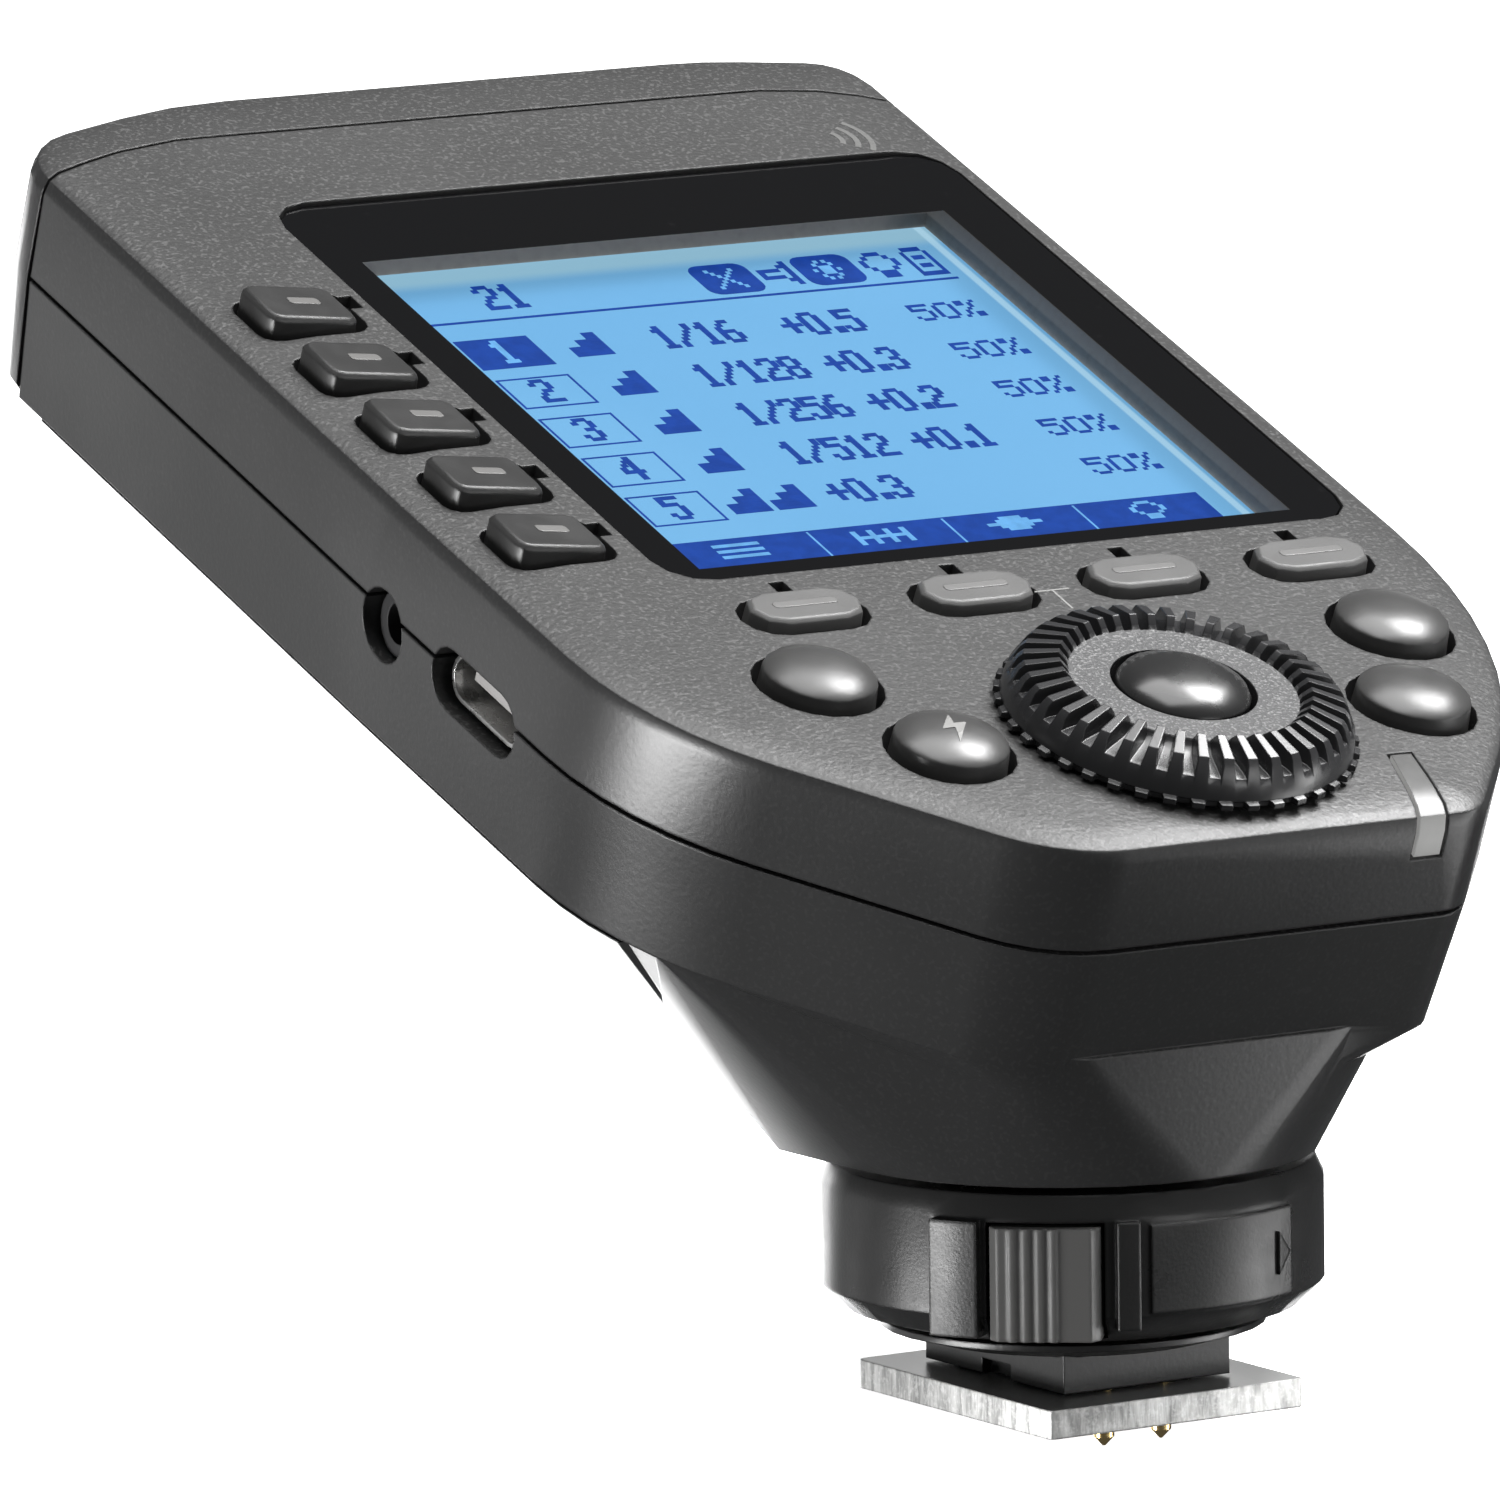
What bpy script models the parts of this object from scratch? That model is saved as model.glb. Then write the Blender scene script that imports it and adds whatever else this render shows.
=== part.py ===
"""Wireless flash trigger: a tilted radio body on a quick-lock hot-shoe foot.

Units are metres and +Z is up. The origin is the middle of the shoe plate's underside, +Y is the way
the foot slides into a camera's shoe, and +X is to the right. The body's pieces hang on an empty
whose XY plane is the body's tilted top face.
"""

import math

import bmesh
import bpy
from mathutils import Matrix, Vector

MM = 0.001

# Body: its top face is the plane z = 0 of the tilted frame.
TILT = math.radians(20.9)
BODY_ORIGIN = (0.0, -11.16 * MM, 42.4 * MM)
# Outline of the top face, anticlockwise from the near right: corner x, corner y, radius, arc steps.
OUTLINE_RIGHT = (
    (16.1 * MM, -11.2 * MM, 3.4 * MM, 3),
    (32.1 * MM, 7.7 * MM, 44.0 * MM, 8),
    (32.1 * MM, 40.0 * MM, 150.0 * MM, 1),
)
CAP_CORNERS = (
    (31.7 * MM, 91.3 * MM, 4.2 * MM, 4),
    (21.0 * MM, 93.4 * MM, 30.0 * MM, 2),
    (-19.0 * MM, 93.4 * MM, 30.0 * MM, 2),
    (-32.8 * MM, 89.4 * MM, 6.6 * MM, 5),
)
OUTLINE_LEFT = (
    (-32.8 * MM, 40.0 * MM, 150.0 * MM, 1),
    (-32.5 * MM, 9.9 * MM, 24.0 * MM, 6),
    (-14.3 * MM, -11.2 * MM, 10.0 * MM, 5),
)
OUTLINE = OUTLINE_RIGHT + CAP_CORNERS + OUTLINE_LEFT
# The crowned top edge: height and inset of each step, from the flat top down to the wall.
CROWN = (
    (0.0 * MM, 6.0 * MM),
    (-0.18 * MM, 2.8 * MM),
    (-0.42 * MM, 1.0 * MM),
    (-0.8 * MM, 0.3 * MM),
    (-1.7 * MM, 0.0 * MM),
)
PARTING_Z = -7.7 * MM
SEAM_GAP = 0.3 * MM
CREASE_Z = -16.3 * MM
CREASE_INSET = 0.95 * MM
PARTING_INSET = 0.1 * MM
WALL = 1.9 * MM
ROOF = 2.4 * MM
FLOOR_TOP = -14.8 * MM
CAP_SEAM_Y = 87.0 * MM
CAP_SEAM_SIDE_Y = 84.5 * MM

# Under the nose the wall's lower edge draws in to a narrower outline, where the pedestal starts.
NOSE_Z = -18.2 * MM
NOSE_LIMIT_Y = 2.0 * MM
NOSE_HALF = (
    (12.2 * MM, -10.5 * MM, 7.0 * MM, 4),
    (23.0 * MM, 4.5 * MM, 1.0 * MM, 1),
)

# Battery bay under the body.
BAY_Z = -29.0 * MM
BAY_HALF_X = 17.6 * MM
BAY_NEAR_Y = 22.0 * MM
BAY_FAR_Y = 81.0 * MM
FLANK_INSET = 1.3 * MM
DOOR_WALL = 1.4 * MM
DOOR_EDGE_Y = 10.5 * MM
DOOR_TOP = -16.65 * MM
SHELL_FAR_Y = 86.2 * MM
CELL_R = 7.25 * MM
CELL_LENGTH = 50.5 * MM
CELL_X = 7.6 * MM
CELL_Z = -20.1 * MM
CELL_NEAR_Y = 25.0 * MM
WELL_CEILING = -12.6 * MM
HINGE_Y = 83.4 * MM
HINGE_Z = -19.0 * MM

# Window and display.
WINDOW = (-20.9 * MM, 29.7 * MM, 25.0 * MM, 77.1 * MM)
WINDOW_TOP = -0.3 * MM
WINDOW_THICK = 0.9 * MM
LCD = (-17.7 * MM, 27.3 * MM, 27.6 * MM, 73.7 * MM)

# Keys and dial.
KEY_TRAVEL = 0.5 * MM
STEM_Z = -4.6 * MM
FLANGE_Z = (-3.5 * MM, -2.8 * MM)
GROUP_KEY_X = -26.7 * MM
GROUP_KEY_Y = 62.6 * MM
GROUP_KEY_PITCH = 7.85 * MM
GROUP_KEY_SIZE = (6.5 * MM, 4.7 * MM)
GROUP_KEY_FALL = 0.7 * MM
FUNCTION_KEY_X = -14.9 * MM
FUNCTION_KEY_Y = 19.6 * MM
FUNCTION_KEY_PITCH = 12.47 * MM
FUNCTION_KEY_SIZE = (7.9 * MM, 3.8 * MM)
ROUND_BUTTONS = {
    "mode_button": (-19.0 * MM, 11.0 * MM),
    "flash_button": (-15.2 * MM, 1.6 * MM),
    "menu_button": (22.8 * MM, 10.5 * MM),
    "zoom_button": (18.5 * MM, 1.3 * MM),
}
DIAL_X = 1.2 * MM
DIAL_Y = 1.6 * MM
DIAL_RIBS = 40
DIAL_BORE = 4.6 * MM

# Side wall sockets.
JACK_Y = 38.4 * MM
JACK_Z = -8.8 * MM
USB_Y = 27.3 * MM
USB_Z = -8.4 * MM
SWITCH_Y = 34.0 * MM
SWITCH_Z = -12.9 * MM
SWITCH_TRAVEL = 3.0 * MM

# Boards.
BOARD_Z = (-11.3 * MM, -10.2 * MM)
CONTROL_BOARD_Z = (-6.9 * MM, -5.95 * MM)
MEMBRANE_Z = (-5.8 * MM, -5.2 * MM)
CASE_SCREWS = (
    (27.0 * MM, 24.2 * MM),
    (-28.0 * MM, 14.4 * MM),
    (27.0 * MM, 80.0 * MM),
    (-27.0 * MM, 80.0 * MM),
)

# Foot, in the world frame.
PLATE_SIZE = (18.6 * MM, 22.0 * MM, 1.8 * MM)
NECK_HALF_X = 6.1 * MM
NECK_Y = (-7.6 * MM, 8.0 * MM)
NECK_TOP = 4.5 * MM
FLANGE_TOP = 5.3 * MM
FLANGE_R = 12.0 * MM
HUB_R = 8.1 * MM
HUB_TOP = 15.45 * MM
RING_Y = 0.6 * MM
RING_R = 15.6 * MM
RING_BORE = 8.5 * MM
RING_BOTTOM = 5.6 * MM
RING_TOP = 15.2 * MM
PEDESTAL_Z = 15.7 * MM
PEDESTAL_R = 15.3 * MM
PEDESTAL_FAR_Y = 10.2 * MM
RELEASE_ANGLE = math.radians(-39.5)
RELEASE_Z = (6.3 * MM, 13.3 * MM)
RELEASE_HALF = 3.4 * MM
RELEASE_R = (13.2 * MM, 16.3 * MM)
PIN_TIP_Z = -1.9 * MM
PIN_CENTRE_Y = -2.2 * MM
PIN_SPREAD = (2.1 * MM, 3.7 * MM)
LOCK_PIN_Y = 7.0 * MM
PLATE_SCREWS = ((4.3 * MM, 5.9 * MM), (-4.3 * MM, 5.9 * MM))


# ---------------------------------------------------------------- scene and materials

def clear_scene():
    for obj in list(bpy.data.objects):
        bpy.data.objects.remove(obj, do_unlink=True)


def material(name, colour, roughness, metallic=0.0):
    made = bpy.data.materials.new(name)
    made.use_nodes = True
    shader = made.node_tree.nodes["Principled BSDF"]
    shader.inputs["Base Color"].default_value = (*colour, 1.0)
    shader.inputs["Roughness"].default_value = roughness
    shader.inputs["Metallic"].default_value = metallic
    made.diffuse_color = (*colour, 1.0)
    return made


FINISHES = {
    "shell_black": ((0.045, 0.045, 0.047), 0.45, 0.0),
    "key_black": ((0.05, 0.05, 0.052), 0.3, 0.0),
    "key_grey": ((0.16, 0.16, 0.16), 0.4, 0.0),
    "window_glass": ((0.01, 0.01, 0.012), 0.08, 0.0),
    "bezel_grey": ((0.2, 0.19, 0.18), 0.6, 0.0),
    "lcd_blue": ((0.2, 0.5, 0.85), 0.3, 0.0),
    "light_pipe": ((0.55, 0.55, 0.55), 0.3, 0.0),
    "board_green": ((0.03, 0.16, 0.07), 0.5, 0.0),
    "plated_steel": ((0.62, 0.62, 0.63), 0.3, 1.0),
    "brass_pin": ((0.75, 0.6, 0.3), 0.3, 1.0),
    "dark_plastic": ((0.03, 0.03, 0.032), 0.5, 0.0),
    "silicone": ((0.35, 0.36, 0.36), 0.7, 0.0),
    "cell_wrap": ((0.08, 0.1, 0.3), 0.35, 0.0),
    "release_grey": ((0.27, 0.27, 0.27), 0.45, 0.0),
}


# ---------------------------------------------------------------- mesh helpers

def mesh_of(name, bm):
    bmesh.ops.recalc_face_normals(bm, faces=bm.faces)
    mesh = bpy.data.meshes.new(name)
    bm.to_mesh(mesh)
    bm.free()
    return mesh


def node(name, mesh, finish, parent=None, origin=(0.0, 0.0, 0.0)):
    """A visible piece. Its mesh is given in the parent's frame and moved to sit on its origin."""
    mesh.transform(Matrix.Translation(-Vector(origin)))
    obj = bpy.data.objects.new(name, mesh)
    bpy.context.scene.collection.objects.link(obj)
    obj.location = origin
    obj.parent = parent
    mesh.materials.append(material(name, *FINISHES[finish]))
    mesh.shade_smooth()
    mesh.set_sharp_from_angle(angle=math.radians(32.0))
    return obj


def helper(name, mesh, parent=None):
    """A cutter or a piece to be joined: it is in no render."""
    obj = bpy.data.objects.new(name, mesh)
    bpy.context.scene.collection.objects.link(obj)
    obj.parent = parent
    obj.hide_render = True
    obj.display_type = "WIRE"
    return obj


def combine(target, tool, operation):
    modifier = target.modifiers.new(f"{operation.lower()} {tool.name}", "BOOLEAN")
    modifier.operation = operation
    modifier.solver = "EXACT"
    modifier.object = tool


def cut(target, tool):
    combine(target, tool, "DIFFERENCE")


def join(target, tool):
    combine(target, tool, "UNION")


def loft(name, rings):
    """A closed solid through rings of points, the same number in each, with flat ends."""
    bm = bmesh.new()
    rows = [[bm.verts.new(point) for point in ring] for ring in rings]
    count = len(rows[0])
    for lower, upper in zip(rows, rows[1:]):
        for i in range(count):
            j = (i + 1) % count
            bm.faces.new((lower[i], lower[j], upper[j], upper[i]))
    bm.faces.new(rows[0][::-1])
    bm.faces.new(rows[-1])
    return mesh_of(name, bm)


def ring_of(name, columns):
    """A closed ring from columns of points, each the same closed section at its own angle."""
    bm = bmesh.new()
    rows = [[bm.verts.new(point) for point in column] for column in columns]
    for step, here in enumerate(rows):
        following = rows[(step + 1) % len(rows)]
        for i in range(len(here)):
            j = (i + 1) % len(here)
            bm.faces.new((here[i], following[i], following[j], here[j]))
    return mesh_of(name, bm)


def column_at(profile, angle, centre):
    """A section of (radius, height) points, stood up at an angle round a centre."""
    across = math.cos(angle)
    along = math.sin(angle)
    return [(centre[0] + r * across, centre[1] + r * along, z) for r, z in profile]


def revolve(name, profile, segments, centre=(0.0, 0.0)):
    """A ring turned round Z from a closed profile of (radius, height) points."""
    turn = 2.0 * math.pi / segments
    return ring_of(name, [column_at(profile, turn * i, centre) for i in range(segments)])


def ribbed_ring(name, crest, valley, ribs, centre):
    """A ring whose section alternates between a rib's and the one between two ribs."""
    pitch = 2.0 * math.pi / ribs
    columns = []
    for rib in range(ribs):
        for part, profile in ((0.0, crest), (0.42, crest), (0.5, valley), (0.92, valley)):
            columns.append(column_at(profile, pitch * (rib + part), centre))
    return ring_of(name, columns)


def circle(radius, z, segments, centre=(0.0, 0.0)):
    return [
        (
            centre[0] + radius * math.cos(2.0 * math.pi * i / segments),
            centre[1] + radius * math.sin(2.0 * math.pi * i / segments),
            z,
        )
        for i in range(segments)
    ]


def turned(name, profile, segments, centre=(0.0, 0.0)):
    """A solid with no bore, turned round Z through (radius, height) steps."""
    return loft(name, [circle(r, z, segments, centre) for r, z in profile])


def turned_along_x(name, profile, segments, centre_y, centre_z):
    """A turned solid whose axis is parallel to X: profile holds (radius, x) steps."""
    rings = [
        [(x, centre_y + point[0], centre_z + point[1]) for point in circle(r, 0.0, segments)]
        for r, x in profile
    ]
    return loft(name, rings)


def turned_along_y(name, profile, segments, centre_x, centre_z):
    """A turned solid whose axis is parallel to Y: profile holds (radius, y) steps."""
    rings = [
        [(centre_x + point[0], y, centre_z + point[1]) for point in circle(r, 0.0, segments)]
        for r, y in profile
    ]
    return loft(name, rings)


def box(name, x, y, z):
    """A box between two limits on each axis."""
    base = [(x[0], y[0]), (x[1], y[0]), (x[1], y[1]), (x[0], y[1])]
    return loft(name, [[(px, py, pz) for px, py in base] for pz in z])


def hull(name, points):
    bm = bmesh.new()
    for point in points:
        bm.verts.new(point)
    made = bmesh.ops.convex_hull(bm, input=bm.verts)
    loose = [v for v in made["geom_interior"] if isinstance(v, bmesh.types.BMVert)]
    bmesh.ops.delete(bm, geom=loose, context="VERTS")
    return mesh_of(name, bm)


# ---------------------------------------------------------------- outlines

def filleted(corners):
    """A convex outline, anticlockwise, from (x, y, radius, steps) corners."""
    points = []
    for i, (x, y, radius, steps) in enumerate(corners):
        corner = Vector((x, y))
        before = (Vector(corners[i - 1][:2]) - corner).normalized()
        after = (Vector(corners[(i + 1) % len(corners)][:2]) - corner).normalized()
        half = before.angle(after) / 2.0
        centre = corner + (before + after).normalized() * (radius / math.sin(half))
        start = corner + before * (radius / math.tan(half)) - centre
        turn = math.pi - 2.0 * half
        for step in range(steps + 1):
            spun = Matrix.Rotation(turn * step / steps, 2) @ start
            points.append((centre.x + spun.x, centre.y + spun.y))
    return points


def shrunk(corners, inset):
    """The corners of an outline moved in by inset, their radii cut by as much."""
    moved = []
    for i, (x, y, radius, steps) in enumerate(corners):
        corner = Vector((x, y))
        before = (Vector(corners[i - 1][:2]) - corner).normalized()
        after = (Vector(corners[(i + 1) % len(corners)][:2]) - corner).normalized()
        half = before.angle(after) / 2.0
        inner = corner + (before + after).normalized() * (inset / math.sin(half))
        moved.append((inner.x, inner.y, max(radius - inset, 0.4 * MM), steps))
    return moved


def mirrored(half):
    """A whole outline from the corners of its right half, listed from near to far."""
    return list(half) + [(-x, y, radius, steps) for x, y, radius, steps in reversed(half)]


def body_ring(inset, z, outline=OUTLINE):
    return [(x, y, z) for x, y in filleted(shrunk(outline, inset))]


def rounded_rectangle(x, y, radius, steps=3):
    corners = [(x[0], y[0]), (x[1], y[0]), (x[1], y[1]), (x[0], y[1])]
    return filleted([(px, py, radius, steps) for px, py in corners])


def plate(name, outline, z):
    return loft(name, [[(x, y, height) for x, y in outline] for height in z])


def key_outline(centre, size, radius, grow=0.0, steps=3):
    half_x = size[0] / 2.0 + grow
    half_y = size[1] / 2.0 + grow
    x = (centre[0] - half_x, centre[0] + half_x)
    y = (centre[1] - half_y, centre[1] + half_y)
    return rounded_rectangle(x, y, radius + grow, steps)


def to_body(point):
    """A point of the world frame, in the tilted body frame."""
    moved = Vector(point) - Vector(BODY_ORIGIN)
    return tuple(Matrix.Rotation(-TILT, 3, "X") @ moved)


# ---------------------------------------------------------------- body shells

def far_cutter(parent, gap, far_side):
    """The seam of the antenna cap: straight across the top, swept back at the two sides."""
    seam = CAP_SEAM_Y + gap
    side = CAP_SEAM_SIDE_Y + gap
    reach = (130.0 if far_side else -60.0) * MM
    half = [
        (22.0 * MM, seam), (26.4 * MM, seam - 0.8 * MM),
        (30.1 * MM, seam - 1.9 * MM), (32.6 * MM, side), (40.0 * MM, side),
    ]
    edge = [(-x, y) for x, y in reversed(half)] + half
    outline = edge + [(40.0 * MM, reach), (-40.0 * MM, reach)]
    name = f"cut_{'far' if far_side else 'near'}_of_seam"
    return helper(name, plate(name, outline, (-45.0 * MM, 10.0 * MM)), parent)


def wall_cutters(parent):
    """Socket holes on the left wall, astride the parting line."""
    jack = turned_along_x(
        "cut_jack", ((2.4 * MM, -40 * MM), (2.4 * MM, -29 * MM)), 20, JACK_Y, JACK_Z)
    usb = rounded_bar("cut_usb", (-40 * MM, -28 * MM), USB_Y, USB_Z, (10.0 * MM, 4.2 * MM))
    return [helper("cut_jack", jack, parent), helper("cut_usb", usb, parent)]


def rounded_bar(name, x, y, z, size, steps=4):
    """A bar along X whose section is an obround of the given width and height."""
    radius = size[1] / 2.0 - 0.01 * MM
    section = key_outline((y, z), size, radius, 0.0, steps)
    return loft(name, [[(px, py, pz) for py, pz in section] for px in x])


def top_shell(parent, wall_holes):
    rings = [body_ring(PARTING_INSET, PARTING_Z + SEAM_GAP / 2.0)]
    rings += [body_ring(inset, z) for z, inset in reversed(CROWN)]
    shell = node("top_shell", loft("top_shell", rings), "shell_black", parent)
    cavity = loft("cut_roof", [
        body_ring(WALL + 0.2 * MM, -12.0 * MM),
        body_ring(WALL + 0.2 * MM, -ROOF),
    ])
    cut(shell, helper("cut_roof", cavity, parent))
    cut(shell, far_cutter(parent, -SEAM_GAP / 2.0, True))
    for i, (x, y) in enumerate(CASE_SCREWS):
        boss = turned("boss", ((2.0 * MM, -9.8 * MM), (2.0 * MM, -ROOF + 0.5 * MM)), 12, (x, y))
        join(shell, helper(f"add_boss_{i}", boss, parent))
        pilot = turned("pilot", ((1.15 * MM, -11 * MM), (1.15 * MM, -4.2 * MM)), 10, (x, y))
        cut(shell, helper(f"cut_pilot_{i}", pilot, parent))
    recess = rounded_rectangle(
        (WINDOW[0] - 0.2 * MM, WINDOW[1] + 0.2 * MM),
        (WINDOW[2] - 0.2 * MM, WINDOW[3] + 0.2 * MM), 3.2 * MM)
    cut(shell, helper("cut_window", plate("cut_window", recess, (-1.5 * MM, 2 * MM)), parent))
    opening = box("cut_view", (-18.9 * MM, 28.5 * MM), (26.4 * MM, 74.9 * MM), (-4 * MM, 2 * MM))
    cut(shell, helper("cut_view", opening, parent))
    cut_key_holes(shell, parent)
    pipe = plate("cut_pipe", pipe_outline(0.2 * MM), (-3.6 * MM, 2.0 * MM))
    cut(shell, helper("cut_pipe", pipe, parent))
    for hole in wall_holes:
        cut(shell, hole)
    return shell


def group_key_centres():
    return [(GROUP_KEY_X, GROUP_KEY_Y - GROUP_KEY_PITCH * i) for i in range(5)]


def function_key_centres():
    return [(FUNCTION_KEY_X + FUNCTION_KEY_PITCH * i, FUNCTION_KEY_Y) for i in range(4)]


def cut_key_holes(shell, parent):
    through = (-4.0 * MM, 2.0 * MM)
    for i, centre in enumerate(group_key_centres()):
        hole = key_outline((centre[0] + 0.2 * MM, centre[1]), (7.8 * MM, 5.6 * MM), 1.3 * MM)
        name = f"cut_group_{i}"
        cut(shell, helper(name, plate(name, hole, through), parent))
        notch = box(
            "notch", (centre[0] + 3.9 * MM, centre[0] + 5.0 * MM),
            (centre[1] + 0.3 * MM, centre[1] + 2.0 * MM), (-0.9 * MM, 2.0 * MM))
        cut(shell, helper(f"cut_group_notch_{i}", notch, parent))
    for i, centre in enumerate(function_key_centres()):
        hole = key_outline(centre, (9.1 * MM, 4.8 * MM), 2.35 * MM)
        name = f"cut_function_{i}"
        cut(shell, helper(name, plate(name, hole, through), parent))
        notch = box(
            "notch", (centre[0] - 0.1 * MM, centre[0] + 1.0 * MM),
            (centre[1] + 2.0 * MM, centre[1] + 4.2 * MM), (-0.7 * MM, 2.0 * MM))
        cut(shell, helper(f"cut_function_notch_{i}", notch, parent))
    for name, centre in ROUND_BUTTONS.items():
        hole = turned(name, ((4.2 * MM, through[0]), (4.2 * MM, through[1])), 20, centre)
        cut(shell, helper(f"cut_{name}", hole, parent))
        room = turned("room", ((5.0 * MM, -4.7 * MM), (5.0 * MM, -ROOF - 0.1 * MM)), 20, centre)
        cut(shell, helper(f"cut_room_{name}", room, parent))
    hole = turned("hole", ((6.8 * MM, through[0]), (6.8 * MM, through[1])), 24, (DIAL_X, DIAL_Y))
    cut(shell, helper("cut_dial", hole, parent))


def bay_outline():
    """The outline of the bay, which ends at the antenna cap."""
    far = ((31.8 * MM, SHELL_FAR_Y, 1.8 * MM, 2), (-32.8 * MM, SHELL_FAR_Y, 1.8 * MM, 2))
    return OUTLINE_RIGHT + far + OUTLINE_LEFT


def bay_points(top, inset, bottom, half_x, near_y, far_y):
    """Corner points of the sloped underside between the crease and the bay's flat bottom."""
    points = body_ring(inset, top[0], bay_outline()) + body_ring(inset, top[1], bay_outline())
    base = rounded_rectangle((-half_x, half_x), (near_y, far_y), 1.5 * MM, 2)
    return points + [(x, y, bottom) for x, y in base]


def door_edge_cutter(name, parent, gap, near_side):
    """Everything on one side of the slanted plane where the battery door ends."""
    reach = (-90.0 if near_side else 120.0) * MM
    slope = (BAY_NEAR_Y - DOOR_EDGE_Y) / (CREASE_Z - BAY_Z)
    rings = []
    for z in (-45.0 * MM, 5.0 * MM):
        edge = DOOR_EDGE_Y + slope * (CREASE_Z - z) + gap
        y = sorted((edge, reach))
        rings.append([(x, py, z) for x, py in (
            (-60 * MM, y[0]), (60 * MM, y[0]), (60 * MM, y[1]), (-60 * MM, y[1]))])
    return helper(name, loft(name, rings), parent)


def pedestal_foot(inset, z):
    """The pedestal's D-shaped bottom, parallel to the shoe plate, in the body frame."""
    radius = PEDESTAL_R - inset
    points = []
    for step in range(17):
        angle = math.pi + math.pi * step / 16.0
        points.append((radius * math.cos(angle), RING_Y + radius * math.sin(angle), z))
    points += [(radius, PEDESTAL_FAR_Y - inset, z), (-radius, PEDESTAL_FAR_Y - inset, z)]
    return [to_body(point) for point in points]


def pedestal_points(inset, top, foot_z, near_limit, corner):
    """Hull points of the pedestal: the near part of the crease, its foot, the bay's near corners."""
    ring = [p for z in top for p in body_ring(FLANK_INSET + inset, z, bay_outline())]
    near = [p for p in ring if NOSE_LIMIT_Y < p[1] < near_limit]
    nose = [(x, y, z) for x, y in filleted(shrunk(mirrored(NOSE_HALF), inset)) for z in (top[0], NOSE_Z)]
    return near + nose + pedestal_foot(inset, foot_z) + corner


def nose_band_points():
    """The band that draws in under the nose, from the wall's lower edge to the pedestal's top."""
    edge = [p for z in (CREASE_Z + 0.8 * MM, CREASE_Z) for p in body_ring(CREASE_INSET, z)]
    near = [p for p in edge if p[1] < 6.0 * MM]
    return near + [(x, y, NOSE_Z) for x, y in filleted(mirrored(NOSE_HALF))]


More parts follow.
